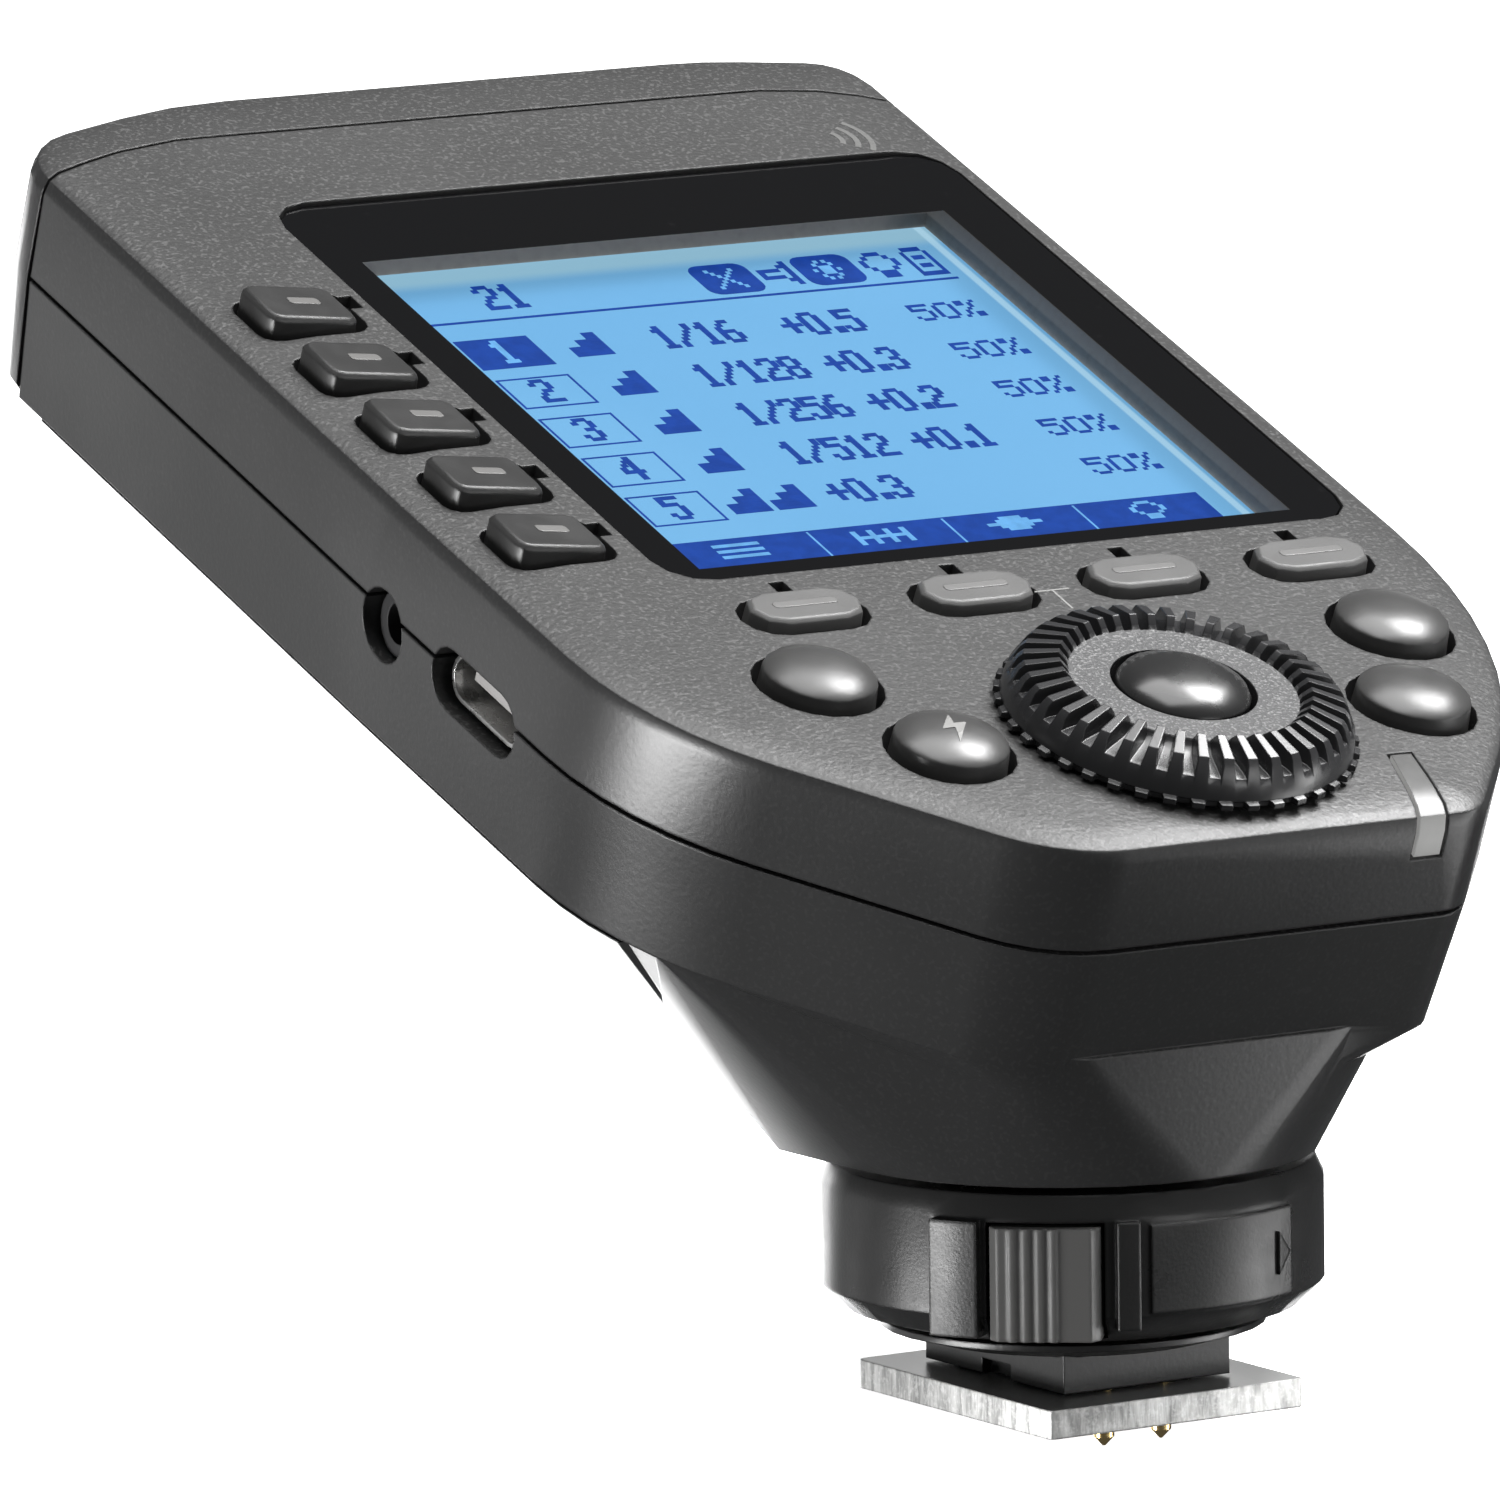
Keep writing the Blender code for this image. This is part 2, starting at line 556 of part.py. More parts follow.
def bottom_shell(parent, wall_holes):
    rings = [
        body_ring(CREASE_INSET, CREASE_Z),
        body_ring(PARTING_INSET, PARTING_Z - SEAM_GAP / 2.0),
    ]
    shell = node("bottom_shell", loft("bottom_shell", rings), "shell_black", parent)
    cavity = [body_ring(WALL + 0.2 * MM, z) for z in (FLOOR_TOP, -5.0 * MM)]
    cut(shell, helper("cut_tray", loft("cut_tray", cavity), parent))
    cut(shell, bpy.data.objects["cut_far_of_seam"])

    corner = [(sx * BAY_HALF_X, BAY_NEAR_Y - 0.2 * MM, BAY_Z) for sx in (-1, 1)]
    near_bay = hull("near_bay", bay_points(
        (CREASE_Z + 0.8 * MM, CREASE_Z - 0.1 * MM), FLANK_INSET, BAY_Z,
        BAY_HALF_X, BAY_NEAR_Y, BAY_FAR_Y))
    near_bay = helper("add_near_bay", near_bay, parent)
    cut(near_bay, door_edge_cutter("cut_beyond_door_edge", parent, -SEAM_GAP / 2.0, False))
    pedestal = hull("pedestal", pedestal_points(
        0.0, (CREASE_Z + 0.8 * MM, CREASE_Z - 0.1 * MM), PEDESTAL_Z, 10.0 * MM, corner))
    pedestal = helper("add_pedestal", pedestal, parent)
    cut(pedestal, bpy.data.objects["cut_beyond_door_edge"])
    band = helper("add_nose_band", hull("nose_band", nose_band_points()), parent)
    join(shell, near_bay)
    join(shell, band)
    join(shell, pedestal)

    hollow_corner = [(sx * 13.0 * MM, 17.5 * MM, -25.5 * MM) for sx in (-1, 1)]
    hollow = hull("hollow", pedestal_points(
        2.2 * MM, (-12.0 * MM, CREASE_Z - 0.6 * MM), PEDESTAL_Z + 2.2 * MM,
        8.0 * MM, hollow_corner))
    cut(shell, helper("cut_pedestal_hollow", hollow, parent))

    hump = box("add_hump", (-16.9 * MM, 16.9 * MM), (23.2 * MM, 81.2 * MM),
               (CREASE_Z + 0.4 * MM, -11.6 * MM))
    join(shell, helper("add_hump", hump, parent))
    well = box("cut_well", (-15.6 * MM, 15.6 * MM), (24.4 * MM, 79.9 * MM),
               (-26.0 * MM, WELL_CEILING))
    cut(shell, helper("cut_well", well, parent))
    bore = loft("cut_hub", [
        [to_body(p) for p in circle(5.3 * MM, z, 20, (0.0, RING_Y))] for z in (12 * MM, 22 * MM)
    ])
    cut(shell, helper("cut_hub", bore, parent))
    for i, (x, y) in enumerate(CASE_SCREWS):
        post = turned("post", ((2.4 * MM, FLOOR_TOP - 0.4 * MM), (2.4 * MM, -11.6 * MM)), 12, (x, y))
        join(shell, helper(f"add_post_{i}", post, parent))
        hole = turned("hole", (
            (2.0 * MM, CREASE_Z - 2 * MM), (2.0 * MM, -15.2 * MM),
            (1.2 * MM, -15.19 * MM), (1.2 * MM, -9.0 * MM)), 12, (x, y))
        cut(shell, helper(f"cut_screw_{i}", hole, parent))
    for side in (-1, 1):
        lug = turned_along_x(
            "lug", ((1.6 * MM, side * 21.7 * MM), (1.6 * MM, side * 23.0 * MM))[::side],
            12, HINGE_Y, HINGE_Z)
        join(shell, helper(f"add_lug_{side}", lug, parent))
        web = box("web", sorted((side * 21.7 * MM, side * 23.0 * MM)),
                  (HINGE_Y - 1.4 * MM, HINGE_Y + 1.4 * MM), (HINGE_Z, FLOOR_TOP - 0.5 * MM))
        join(shell, helper(f"add_web_{side}", web, parent))
    lip = box("add_lip", (-23.5 * MM, 23.5 * MM), (84.4 * MM, 85.6 * MM),
              (-17.2 * MM, FLOOR_TOP - 0.5 * MM))
    join(shell, helper("add_lip", lip, parent))
    pin_hole = turned_along_x(
        "cut_hinge", ((0.95 * MM, -23.2 * MM), (0.95 * MM, 23.2 * MM)), 12, HINGE_Y, HINGE_Z)
    cut(shell, helper("cut_hinge", pin_hole, parent))
    slot = box("cut_switch", (28.0 * MM, 36.0 * MM),
               (SWITCH_Y - 3.7 * MM, SWITCH_Y + 3.7 * MM), (SWITCH_Z - 1.2 * MM, SWITCH_Z + 1.2 * MM))
    cut(shell, helper("cut_switch", slot, parent))
    for hole in wall_holes:
        cut(shell, hole)
    return shell


def antenna_cap(parent):
    rings = [
        body_ring(CREASE_INSET + 0.2 * MM, CREASE_Z + 0.3 * MM),
        body_ring(CREASE_INSET - 0.2 * MM, CREASE_Z + 0.8 * MM),
        body_ring(0.0, PARTING_Z),
    ]
    rings += [body_ring(inset, z) for z, inset in reversed(CROWN)]
    cap = node("antenna_cap", loft("antenna_cap", rings), "shell_black", parent)
    inner = [body_ring(WALL, z) for z in (-14.4 * MM, -ROOF)]
    cut(cap, helper("cut_cap", loft("cut_cap", inner), parent))
    cut(cap, far_cutter(parent, SEAM_GAP / 2.0, False))
    return cap


def battery_door(parent):
    outer = hull("battery_door", bay_points(
        (DOOR_TOP, DOOR_TOP - 0.1 * MM), FLANK_INSET, BAY_Z, BAY_HALF_X, BAY_NEAR_Y, BAY_FAR_Y))
    origin = (0.0, HINGE_Y, HINGE_Z)
    door = node("battery_door", outer, "shell_black", parent, origin)
    inner = hull("cut_trough", bay_points(
        (-15.0 * MM, DOOR_TOP - 0.1 * MM), FLANK_INSET + 2.0 * MM, BAY_Z + DOOR_WALL,
        BAY_HALF_X - 1.3 * MM, BAY_NEAR_Y - 14.0 * MM, BAY_FAR_Y - 1.4 * MM))
    cut(door, helper("cut_trough", inner, parent))
    cut(door, door_edge_cutter("cut_before_door_edge", parent, SEAM_GAP / 2.0, True))
    step = box("cut_door_step", (-40 * MM, 40 * MM), (82.9 * MM, 95 * MM), (-18.1 * MM, -10 * MM))
    cut(door, helper("cut_door_step", step, parent))
    knuckle = turned_along_x(
        "add_knuckle", ((1.6 * MM, -22.5 * MM), (1.6 * MM, 22.5 * MM)), 12, HINGE_Y, HINGE_Z)
    join(door, helper("add_knuckle", knuckle, parent))
    for side in (-1, 1):
        gap = box("gap", sorted((side * 21.4 * MM, side * 23.3 * MM)),
                  (HINGE_Y - 2.0 * MM, HINGE_Y + 4.0 * MM), (HINGE_Z - 2.0 * MM, -15 * MM))
        cut(door, helper(f"cut_lug_gap_{side}", gap, parent))
        corner = box("corner", sorted((side * 23.0 * MM, side * 40.0 * MM)),
                     (82.0 * MM, 95.0 * MM), (HINGE_Z + 0.2 * MM, -10 * MM))
        cut(door, helper(f"cut_door_corner_{side}", corner, parent))
    cut(door, bpy.data.objects["cut_hinge"])
    return door


def hinge_pin(parent):
    pin = turned_along_x(
        "door_hinge_pin", ((0.75 * MM, -23.0 * MM), (0.75 * MM, 23.0 * MM)), 10, HINGE_Y, HINGE_Z)
    return node("door_hinge_pin", pin, "plated_steel", parent)


def pipe_outline(grow):
    """The light pipe runs slantwise from the near edge and narrows towards its far end."""
    return [
        (10.65 * MM - grow, -14.0 * MM), (12.75 * MM + grow, -14.0 * MM),
        (14.65 * MM + grow, -4.6 * MM + grow), (13.15 * MM - grow, -4.6 * MM + grow),
    ]


def light_pipe(parent):
    rings = [body_ring(PARTING_INSET, PARTING_Z + SEAM_GAP / 2.0)]
    rings += [body_ring(inset, z) for z, inset in reversed(CROWN)]
    pipe = node("status_light_pipe", loft("status_light_pipe", rings), "light_pipe", parent)
    keep = plate("keep_pipe", pipe_outline(0.0), (-3.4 * MM, 2.0 * MM))
    combine(pipe, helper("keep_pipe", keep, parent), "INTERSECT")
    inner = loft("cut_pipe_back", [
        body_ring(WALL, -9.0 * MM), body_ring(WALL, -ROOF + 0.5 * MM)])
    cut(pipe, helper("cut_pipe_back", inner, parent))
    return pipe


# ---------------------------------------------------------------- window and display

def display(parent):
    x = WINDOW[0:2]
    y = WINDOW[2:4]
    glass = plate("display_window", rounded_rectangle(x, y, 3.0 * MM),
                  (WINDOW_TOP - WINDOW_THICK, WINDOW_TOP))
    node("display_window", glass, "window_glass", parent)

    frame = box("lcd_frame", (-18.5 * MM, 28.1 * MM), (26.8 * MM, 74.5 * MM), (-4.7 * MM, -1.6 * MM))
    frame = node("lcd_frame", frame, "bezel_grey", parent)
    steps = (
        (-5.5 * MM, LCD[0] - 0.2 * MM, LCD[1] + 0.2 * MM, LCD[2] - 0.2 * MM, LCD[3] + 0.2 * MM),
        (-3.05 * MM, LCD[0] - 0.2 * MM, LCD[1] + 0.2 * MM, LCD[2] - 0.2 * MM, LCD[3] + 0.2 * MM),
    )
    slope = (
        (-3.5 * MM, -16.9 * MM, 26.4 * MM, 28.7 * MM, 72.0 * MM),
        (-0.5 * MM, -18.2 * MM, 27.9 * MM, 27.2 * MM, 74.2 * MM),
    )
    for name, levels in (("cut_lcd_pocket", steps), ("cut_lcd_slope", slope)):
        rings = [[(x0, y0, z), (x1, y0, z), (x1, y1, z), (x0, y1, z)] for z, x0, x1, y0, y1 in levels]
        cut(frame, helper(name, loft(name, rings), parent))

    panel = box("lcd_panel", LCD[0:2], LCD[2:4], (-4.6 * MM, -3.2 * MM))
    node("lcd_panel", panel, "lcd_blue", parent)
    light = box("backlight", LCD[0:2], LCD[2:4], (-6.4 * MM, -4.85 * MM))
    node("backlight", light, "bezel_grey", parent)


# ---------------------------------------------------------------- keys, buttons and dial

def outline_key(name, centre, steps, finish, parent, fall=0.0):
    """A key lofted through (z, size, radius, x shift) steps, its top falling towards +X."""
    rings = []
    for z, size, radius, shift in steps:
        outline = key_outline((centre[0] + shift, centre[1]), size, radius, 0.0, 2)
        slope = fall / size[0] if z > 0.0 else 0.0
        left = centre[0] - size[0] / 2.0
        rings.append([(x, y, z - slope * (x - left)) for x, y in outline])
    node(name, loft(name, rings), finish, parent, (centre[0], centre[1], 0.0))


def group_keys(parent):
    width, depth = GROUP_KEY_SIZE
    stem = (3.0 * MM, 3.0 * MM)
    flange = (7.6 * MM, 6.6 * MM)
    steps = (
        (STEM_Z, stem, 0.5 * MM, 0.0),
        (FLANGE_Z[0], stem, 0.5 * MM, 0.0),
        (FLANGE_Z[0] + 0.01 * MM, flange, 0.8 * MM, 0.6 * MM),
        (FLANGE_Z[1], flange, 0.8 * MM, 0.6 * MM),
        (FLANGE_Z[1] + 0.01 * MM, (width + 0.25 * MM, depth + 0.3 * MM), 0.9 * MM, 0.0),
        (1.05 * MM, (width + 0.05 * MM, depth), 0.8 * MM, 0.0),
        (1.35 * MM, (width - 0.5 * MM, depth - 0.5 * MM), 0.6 * MM, 0.0),
    )
    for i, centre in enumerate(group_key_centres()):
        outline_key(f"group_button_{i + 1}", centre, steps, "key_black", parent, GROUP_KEY_FALL)


def function_keys(parent):
    width, depth = FUNCTION_KEY_SIZE
    stem = (3.4 * MM, 2.4 * MM)
    flange = (9.8 * MM, 5.4 * MM)
    steps = (
        (STEM_Z, stem, 0.5 * MM, 0.0),
        (FLANGE_Z[0], stem, 0.5 * MM, 0.0),
        (FLANGE_Z[0] + 0.01 * MM, flange, 2.6 * MM, 0.0),
        (FLANGE_Z[1], flange, 2.6 * MM, 0.0),
        (FLANGE_Z[1] + 0.01 * MM, (width + 0.5 * MM, depth + 0.4 * MM), 2.05 * MM, 0.0),
        (0.5 * MM, (width, depth), 1.85 * MM, 0.0),
        (0.75 * MM, (width - 0.5 * MM, depth - 0.5 * MM), 1.6 * MM, 0.0),
    )
    for i, centre in enumerate(function_key_centres()):
        outline_key(f"function_button_{i + 1}", centre, steps, "key_grey", parent)


def round_buttons(parent):
    profile = (
        (2.0 * MM, STEM_Z), (2.0 * MM, FLANGE_Z[0]),
        (4.7 * MM, FLANGE_Z[0] + 0.01 * MM), (4.7 * MM, FLANGE_Z[1]),
        (3.85 * MM, FLANGE_Z[1] + 0.01 * MM), (3.6 * MM, 0.75 * MM),
        (3.3 * MM, 1.05 * MM), (2.2 * MM, 1.45 * MM), (0.9 * MM, 1.7 * MM),
    )
    for name, centre in ROUND_BUTTONS.items():
        mesh = turned(name, profile, 20, centre)
        node(name, mesh, "key_black", parent, (centre[0], centre[1], 0.0))


def dial(parent):
    centre = (DIAL_X, DIAL_Y)
    crest = (
        (DIAL_BORE, -0.5 * MM), (6.0 * MM, -0.5 * MM), (6.0 * MM, 0.25 * MM),
        (11.4 * MM, 0.25 * MM), (11.4 * MM, 0.6 * MM), (11.05 * MM, 0.7 * MM),
        (10.9 * MM, 1.6 * MM), (10.3 * MM, 2.75 * MM), (10.0 * MM, 3.1 * MM),
        (7.9 * MM, 3.6 * MM), (7.35 * MM, 3.1 * MM), (7.2 * MM, 2.85 * MM), (DIAL_BORE, 2.85 * MM),
    )
    valley = (
        (DIAL_BORE, -0.5 * MM), (6.0 * MM, -0.5 * MM), (6.0 * MM, 0.25 * MM),
        (10.9 * MM, 0.25 * MM), (10.95 * MM, 0.6 * MM), (11.05 * MM, 0.7 * MM),
        (10.9 * MM, 1.6 * MM), (10.6 * MM, 2.0 * MM), (10.2 * MM, 2.1 * MM),
        (8.0 * MM, 2.2 * MM), (7.4 * MM, 2.5 * MM), (7.2 * MM, 2.85 * MM), (DIAL_BORE, 2.85 * MM),
    )
    mesh = ribbed_ring("control_dial", crest, valley, DIAL_RIBS, centre)
    node("control_dial", mesh, "key_black", parent, (DIAL_X, DIAL_Y, 0.0))
    profile = (
        (1.6 * MM, STEM_Z), (1.6 * MM, 1.1 * MM), (4.2 * MM, 1.2 * MM), (4.25 * MM, 2.7 * MM),
        (3.9 * MM, 3.2 * MM), (2.6 * MM, 3.75 * MM), (1.1 * MM, 4.0 * MM),
    )
    mesh = turned("set_button", profile, 24, centre)
    node("set_button", mesh, "key_black", parent, (DIAL_X, DIAL_Y, 0.0))
    case = (
        (2.0 * MM, -5.75 * MM), (6.3 * MM, -5.75 * MM), (6.3 * MM, -1.6 * MM),
        (5.6 * MM, -0.9 * MM), (2.0 * MM, -0.9 * MM),
    )
    node("encoder_body", revolve("encoder_body", case, 20, centre), "dark_plastic", parent)


# ---------------------------------------------------------------- boards and electronics

def boards(parent):
    main_half = (
        (12.5 * MM, -7.2 * MM, 3.0 * MM, 2),
        (28.8 * MM, 10.6 * MM, 18.0 * MM, 4),
        (28.8 * MM, 84.0 * MM, 1.5 * MM, 2),
    )
    board = plate("main_board", filleted(mirrored(main_half)), BOARD_Z)
    board = node("main_board", board, "board_green", parent)
    notch = box("cut_jack_notch", (-32 * MM, -20.9 * MM), (35.6 * MM, 41.2 * MM), (-13 * MM, -9 * MM))
    cut(board, helper("cut_jack_notch", notch, parent))
    for i, (x, y) in enumerate(CASE_SCREWS):
        hole = turned("hole", ((1.3 * MM, -13 * MM), (1.3 * MM, -9 * MM)), 10, (x, y))
        cut(board, helper(f"cut_board_hole_{i}", hole, parent))

    control_half = (
        (11.5 * MM, -6.6 * MM, 3.0 * MM, 2),
        (25.2 * MM, 8.8 * MM, 10.0 * MM, 3),
        (25.2 * MM, 23.4 * MM, 1.0 * MM, 2),
    )
    control = plate("control_board", filleted(mirrored(control_half)), CONTROL_BOARD_Z)
    node("control_board", control, "board_green", parent)
    membrane_outline = filleted(shrunk(mirrored(control_half), 0.4 * MM))
    membrane = node(
        "key_membrane", plate("key_membrane", membrane_outline, MEMBRANE_Z), "silicone", parent)
    hole = turned("cut_membrane", ((6.7 * MM, -8 * MM), (6.7 * MM, -3 * MM)), 20, (DIAL_X, DIAL_Y))
    cut(membrane, helper("cut_membrane", hole, parent))

    strip = rounded_rectangle((-29.8 * MM, -22.2 * MM), (27.4 * MM, 66.6 * MM), 0.8 * MM, 2)
    node("group_key_board", plate("group_key_board", strip, (-6.35 * MM, -5.95 * MM)),
         "board_green", parent)
    node("group_key_membrane", plate("group_key_membrane", strip, MEMBRANE_Z), "silicone", parent)

    radio = box("radio_module", (3.0 * MM, 21.0 * MM), (56 * MM, 76 * MM), (-10.05 * MM, -7.2 * MM))
    node("radio_module", radio, "plated_steel", parent)
    buzzer = turned("buzzer", ((4.5 * MM, -10.05 * MM), (4.5 * MM, -7.4 * MM)), 16, (-8 * MM, 66 * MM))
    node("buzzer", buzzer, "dark_plastic", parent)


def antenna_coil(parent):
    """A springy wire wound along X inside the far cap."""
    turns = 9
    steps = 8
    radius = 2.0 * MM
    length = 22.0 * MM
    spline_points = []
    for i in range(turns * steps + 1):
        angle = 2.0 * math.pi * i / steps
        x = -length / 2.0 + length * i / (turns * steps)
        spline_points.append((x, 87.4 * MM + radius * math.cos(angle), -8.0 * MM + radius * math.sin(angle)))
    curve = bpy.data.curves.new("antenna_coil", "CURVE")
    curve.dimensions = "3D"
    curve.bevel_depth = 0.35 * MM
    curve.bevel_resolution = 0
    curve.use_fill_caps = True
    spline = curve.splines.new("POLY")
    spline.points.add(len(spline_points) - 1)
    for point, place in zip(spline.points, spline_points):
        point.co = (*place, 1.0)
    obj = bpy.data.objects.new("antenna_coil", curve)
    bpy.context.scene.collection.objects.link(obj)
    obj.parent = parent
    curve.materials.append(material("antenna_coil", *FINISHES["brass_pin"]))


def sockets(parent):
    jack = turned_along_x(
        "sync_jack", ((2.15 * MM, -31.4 * MM), (2.15 * MM, -21.4 * MM)), 24, JACK_Y, JACK_Z)
    jack = node("sync_jack", jack, "dark_plastic", parent)
    bore = turned_along_x(
        "cut_jack_bore", ((1.3 * MM, -33 * MM), (1.3 * MM, -22.6 * MM)), 48, JACK_Y, JACK_Z)
    cut(jack, helper("cut_jack_bore", bore, parent))

    port = rounded_bar("usb_port", (-31.4 * MM, -24.0 * MM), USB_Y, USB_Z, (8.9 * MM, 3.2 * MM))
    port = node("usb_port", port, "plated_steel", parent)
    bore = rounded_bar("cut_usb_bore", (-33 * MM, -24.5 * MM), USB_Y, USB_Z, (8.3 * MM, 2.6 * MM))
    cut(port, helper("cut_usb_bore", bore, parent))
    tongue = box("usb_tongue", (-30.4 * MM, -24.8 * MM),
                 (USB_Y - 3.3 * MM, USB_Y + 3.3 * MM), (USB_Z - 0.35 * MM, USB_Z + 0.35 * MM))
    node("usb_tongue", tongue, "silicone", parent)


def power_switch(parent):
    """A lever through a slot in the right wall, with a slider plate behind the wall."""
    middle = SWITCH_Y - SWITCH_TRAVEL / 2.0
    slider = box("power_switch", (27.3 * MM, 29.5 * MM),
                 (middle - 5.5 * MM, middle + 5.5 * MM), (SWITCH_Z - 1.5 * MM, SWITCH_Z + 1.4 * MM))
    switch = node("power_switch", slider, "key_black", parent, (29.5 * MM, middle, SWITCH_Z))
    lever = box("lever", (29.0 * MM, 32.4 * MM),
                (middle - 2.0 * MM, middle + 2.0 * MM), (SWITCH_Z - 0.95 * MM, SWITCH_Z + 0.95 * MM))
    join(switch, helper("add_switch_lever", lever, parent))


# ---------------------------------------------------------------- batteries and fasteners

def batteries(parent):
    for number, side in ((1, -1), (2, 1)):
        # The two cells lie head to tail: the raised plus end is far on one and near on the other.
        ends = (CELL_NEAR_Y, CELL_NEAR_Y + CELL_LENGTH)
        body = (ends[0], ends[1] - 1.4 * MM) if side > 0 else (ends[1], ends[0] + 1.4 * MM)
        nub = ends[1] if side > 0 else ends[0]
        profile = ((CELL_R, body[0]), (CELL_R, body[1]), (2.7 * MM, body[1]), (2.7 * MM, nub))
        name = f"battery_cell_{number}"
        mesh = turned_along_y(name, profile, 20, side * CELL_X, CELL_Z)
        node(name, mesh, "cell_wrap", parent)
    bridge = box("battery_bridge", (-14.0 * MM, 14.0 * MM), (79.1 * MM, 79.6 * MM), (-18.6 * MM, -13.0 * MM))
    node("battery_bridge", bridge, "plated_steel", parent)
    for name, side in (("terminal_plus", -1), ("terminal_minus", 1)):
        leaf = box(name, sorted((side * 4.0 * MM, side * 11.0 * MM)),
                   (24.5 * MM, 24.85 * MM), (-18 * MM, -13 * MM))
        node(name, leaf, "plated_steel", parent)


def case_screws(parent):
    for i, centre in enumerate(CASE_SCREWS):
        profile = (
            (1.75 * MM, CREASE_Z + 0.1 * MM), (1.75 * MM, -15.35 * MM),
            (0.95 * MM, -15.34 * MM), (0.95 * MM, -4.9 * MM),
        )
        name = f"case_screw_{i + 1}"
        node(name, turned(name, profile, 12, centre), "plated_steel", parent)


# ---------------------------------------------------------------- foot

def foot_neck():
    centre = (0.0, RING_Y)
    base = [
        (NECK_HALF_X * sx, y) for sx, y in (
            (-1, NECK_Y[0]), (1, NECK_Y[0]), (1, NECK_Y[1]), (-1, NECK_Y[1]))
    ]
    bottom = PLATE_SIZE[2] + 0.15 * MM
    neck = plate("foot_neck", base, (bottom, NECK_TOP + 0.3 * MM))
    neck = node("foot_neck", neck, "dark_plastic")
    hub = turned("add_hub", (
        (9.6 * MM, NECK_TOP - 0.3 * MM), (FLANGE_R, NECK_TOP + 0.4 * MM), (FLANGE_R, FLANGE_TOP),
        (HUB_R, FLANGE_TOP + 0.01 * MM), (HUB_R, HUB_TOP),
        (5.0 * MM, HUB_TOP + 0.01 * MM), (5.0 * MM, 19.5 * MM)), 32, centre)
    join(neck, helper("add_hub", hub))
    notch = plate("cut_neck_notch", (
        (-9 * MM, -1.6 * MM), (-5.4 * MM, -1.6 * MM), (-5.4 * MM, 1.6 * MM), (-9 * MM, 1.6 * MM)),
        (1 * MM, 2.9 * MM))
    cut(neck, helper("cut_neck_notch", notch))
    for i, (x, y, radius) in enumerate(pin_places()):
        hole = turned("hole", ((radius + 0.15 * MM, 1 * MM), (radius + 0.15 * MM, 9 * MM)), 12, (x, y))
        cut(neck, helper(f"cut_neck_pin_{i}", hole))
    hole = turned("hole", ((1.15 * MM, 1 * MM), (1.15 * MM, 11 * MM)), 12, (0.0, LOCK_PIN_Y))
    cut(neck, helper("cut_neck_lock", hole))
    for i, centre_xy in enumerate(PLATE_SCREWS):
        hole = turned("hole", ((0.85 * MM, 1 * MM), (0.85 * MM, 7.3 * MM)), 10, centre_xy)
        cut(neck, helper(f"cut_neck_screw_{i}", hole))


def pin_places():
    """x, y and radius of the centre contact and of the four small ones around it."""
    places = [(0.0, PIN_CENTRE_Y, 0.95 * MM)]
    for sy in (-1, 1):
        for sx in (-1, 1):
            places.append((sx * PIN_SPREAD[0], PIN_CENTRE_Y + sy * PIN_SPREAD[1], 0.65 * MM))
    return places


def shoe_plate():
    half_x = PLATE_SIZE[0] / 2.0
    half_y = PLATE_SIZE[1] / 2.0
    corners = filleted([
        (-half_x, -half_y, 0.35 * MM, 2), (half_x, -half_y, 0.35 * MM, 2),
        (half_x, half_y, 0.6 * MM, 3), (-half_x, half_y, 0.6 * MM, 3)])
    made = node("shoe_plate", plate("shoe_plate", corners, (0.0, PLATE_SIZE[2])), "plated_steel")
    window = box("cut_insulator", (-3.6 * MM, 3.6 * MM), (-7.2 * MM, 3.2 * MM), (-1 * MM, 3 * MM))
    cut(made, helper("cut_insulator", window))
    hole = turned("hole", ((1.15 * MM, -1 * MM), (1.15 * MM, 3 * MM)), 12, (0.0, LOCK_PIN_Y))
    cut(made, helper("cut_plate_lock", hole))
    for i, centre in enumerate(PLATE_SCREWS):
        hole = turned("hole", (
            (1.75 * MM, -0.3 * MM), (1.45 * MM, 0.0), (0.95 * MM, 0.9 * MM), (0.95 * MM, 3 * MM)), 12, centre)
        cut(made, helper(f"cut_plate_screw_{i}", hole))

    block = box("pin_insulator", (-3.4 * MM, 3.4 * MM), (-7.0 * MM, 3.0 * MM), (0.0, PLATE_SIZE[2]))
    block = node("pin_insulator", block, "dark_plastic")
    for i, (x, y, radius) in enumerate(pin_places()):
        hole = turned("hole", ((radius + 0.15 * MM, -1 * MM), (radius + 0.15 * MM, 3 * MM)), 12, (x, y))
        cut(block, helper(f"cut_insulator_pin_{i}", hole))


def foot_pins():
    names = ["contact_pin_centre"] + [f"contact_pin_{i}" for i in range(1, 5)]
    for name, (x, y, radius) in zip(names, pin_places()):
        cone = 0.55 * radius
        profile = (
            (0.1 * MM, PIN_TIP_Z), (radius, PIN_TIP_Z + cone + 0.2 * MM), (radius, 7.6 * MM))
        node(name, turned(name, profile, 12, (x, y)), "brass_pin", None, (x, y, 0.0))
    profile = ((0.6 * MM, 0.25 * MM), (0.95 * MM, 0.6 * MM), (0.95 * MM, 9.5 * MM))
    mesh = turned("lock_pin", profile, 12, (0.0, LOCK_PIN_Y))
    node("lock_pin", mesh, "plated_steel", None, (0.0, LOCK_PIN_Y, 0.0))
    for i, centre in enumerate(PLATE_SCREWS):
        name = f"plate_screw_{i + 1}"
        profile = (
            (1.25 * MM, 0.1 * MM), (1.25 * MM, 0.2 * MM), (0.7 * MM, 1.0 * MM), (0.7 * MM, 6.5 * MM))
        node(name, turned(name, profile, 12, centre), "plated_steel")


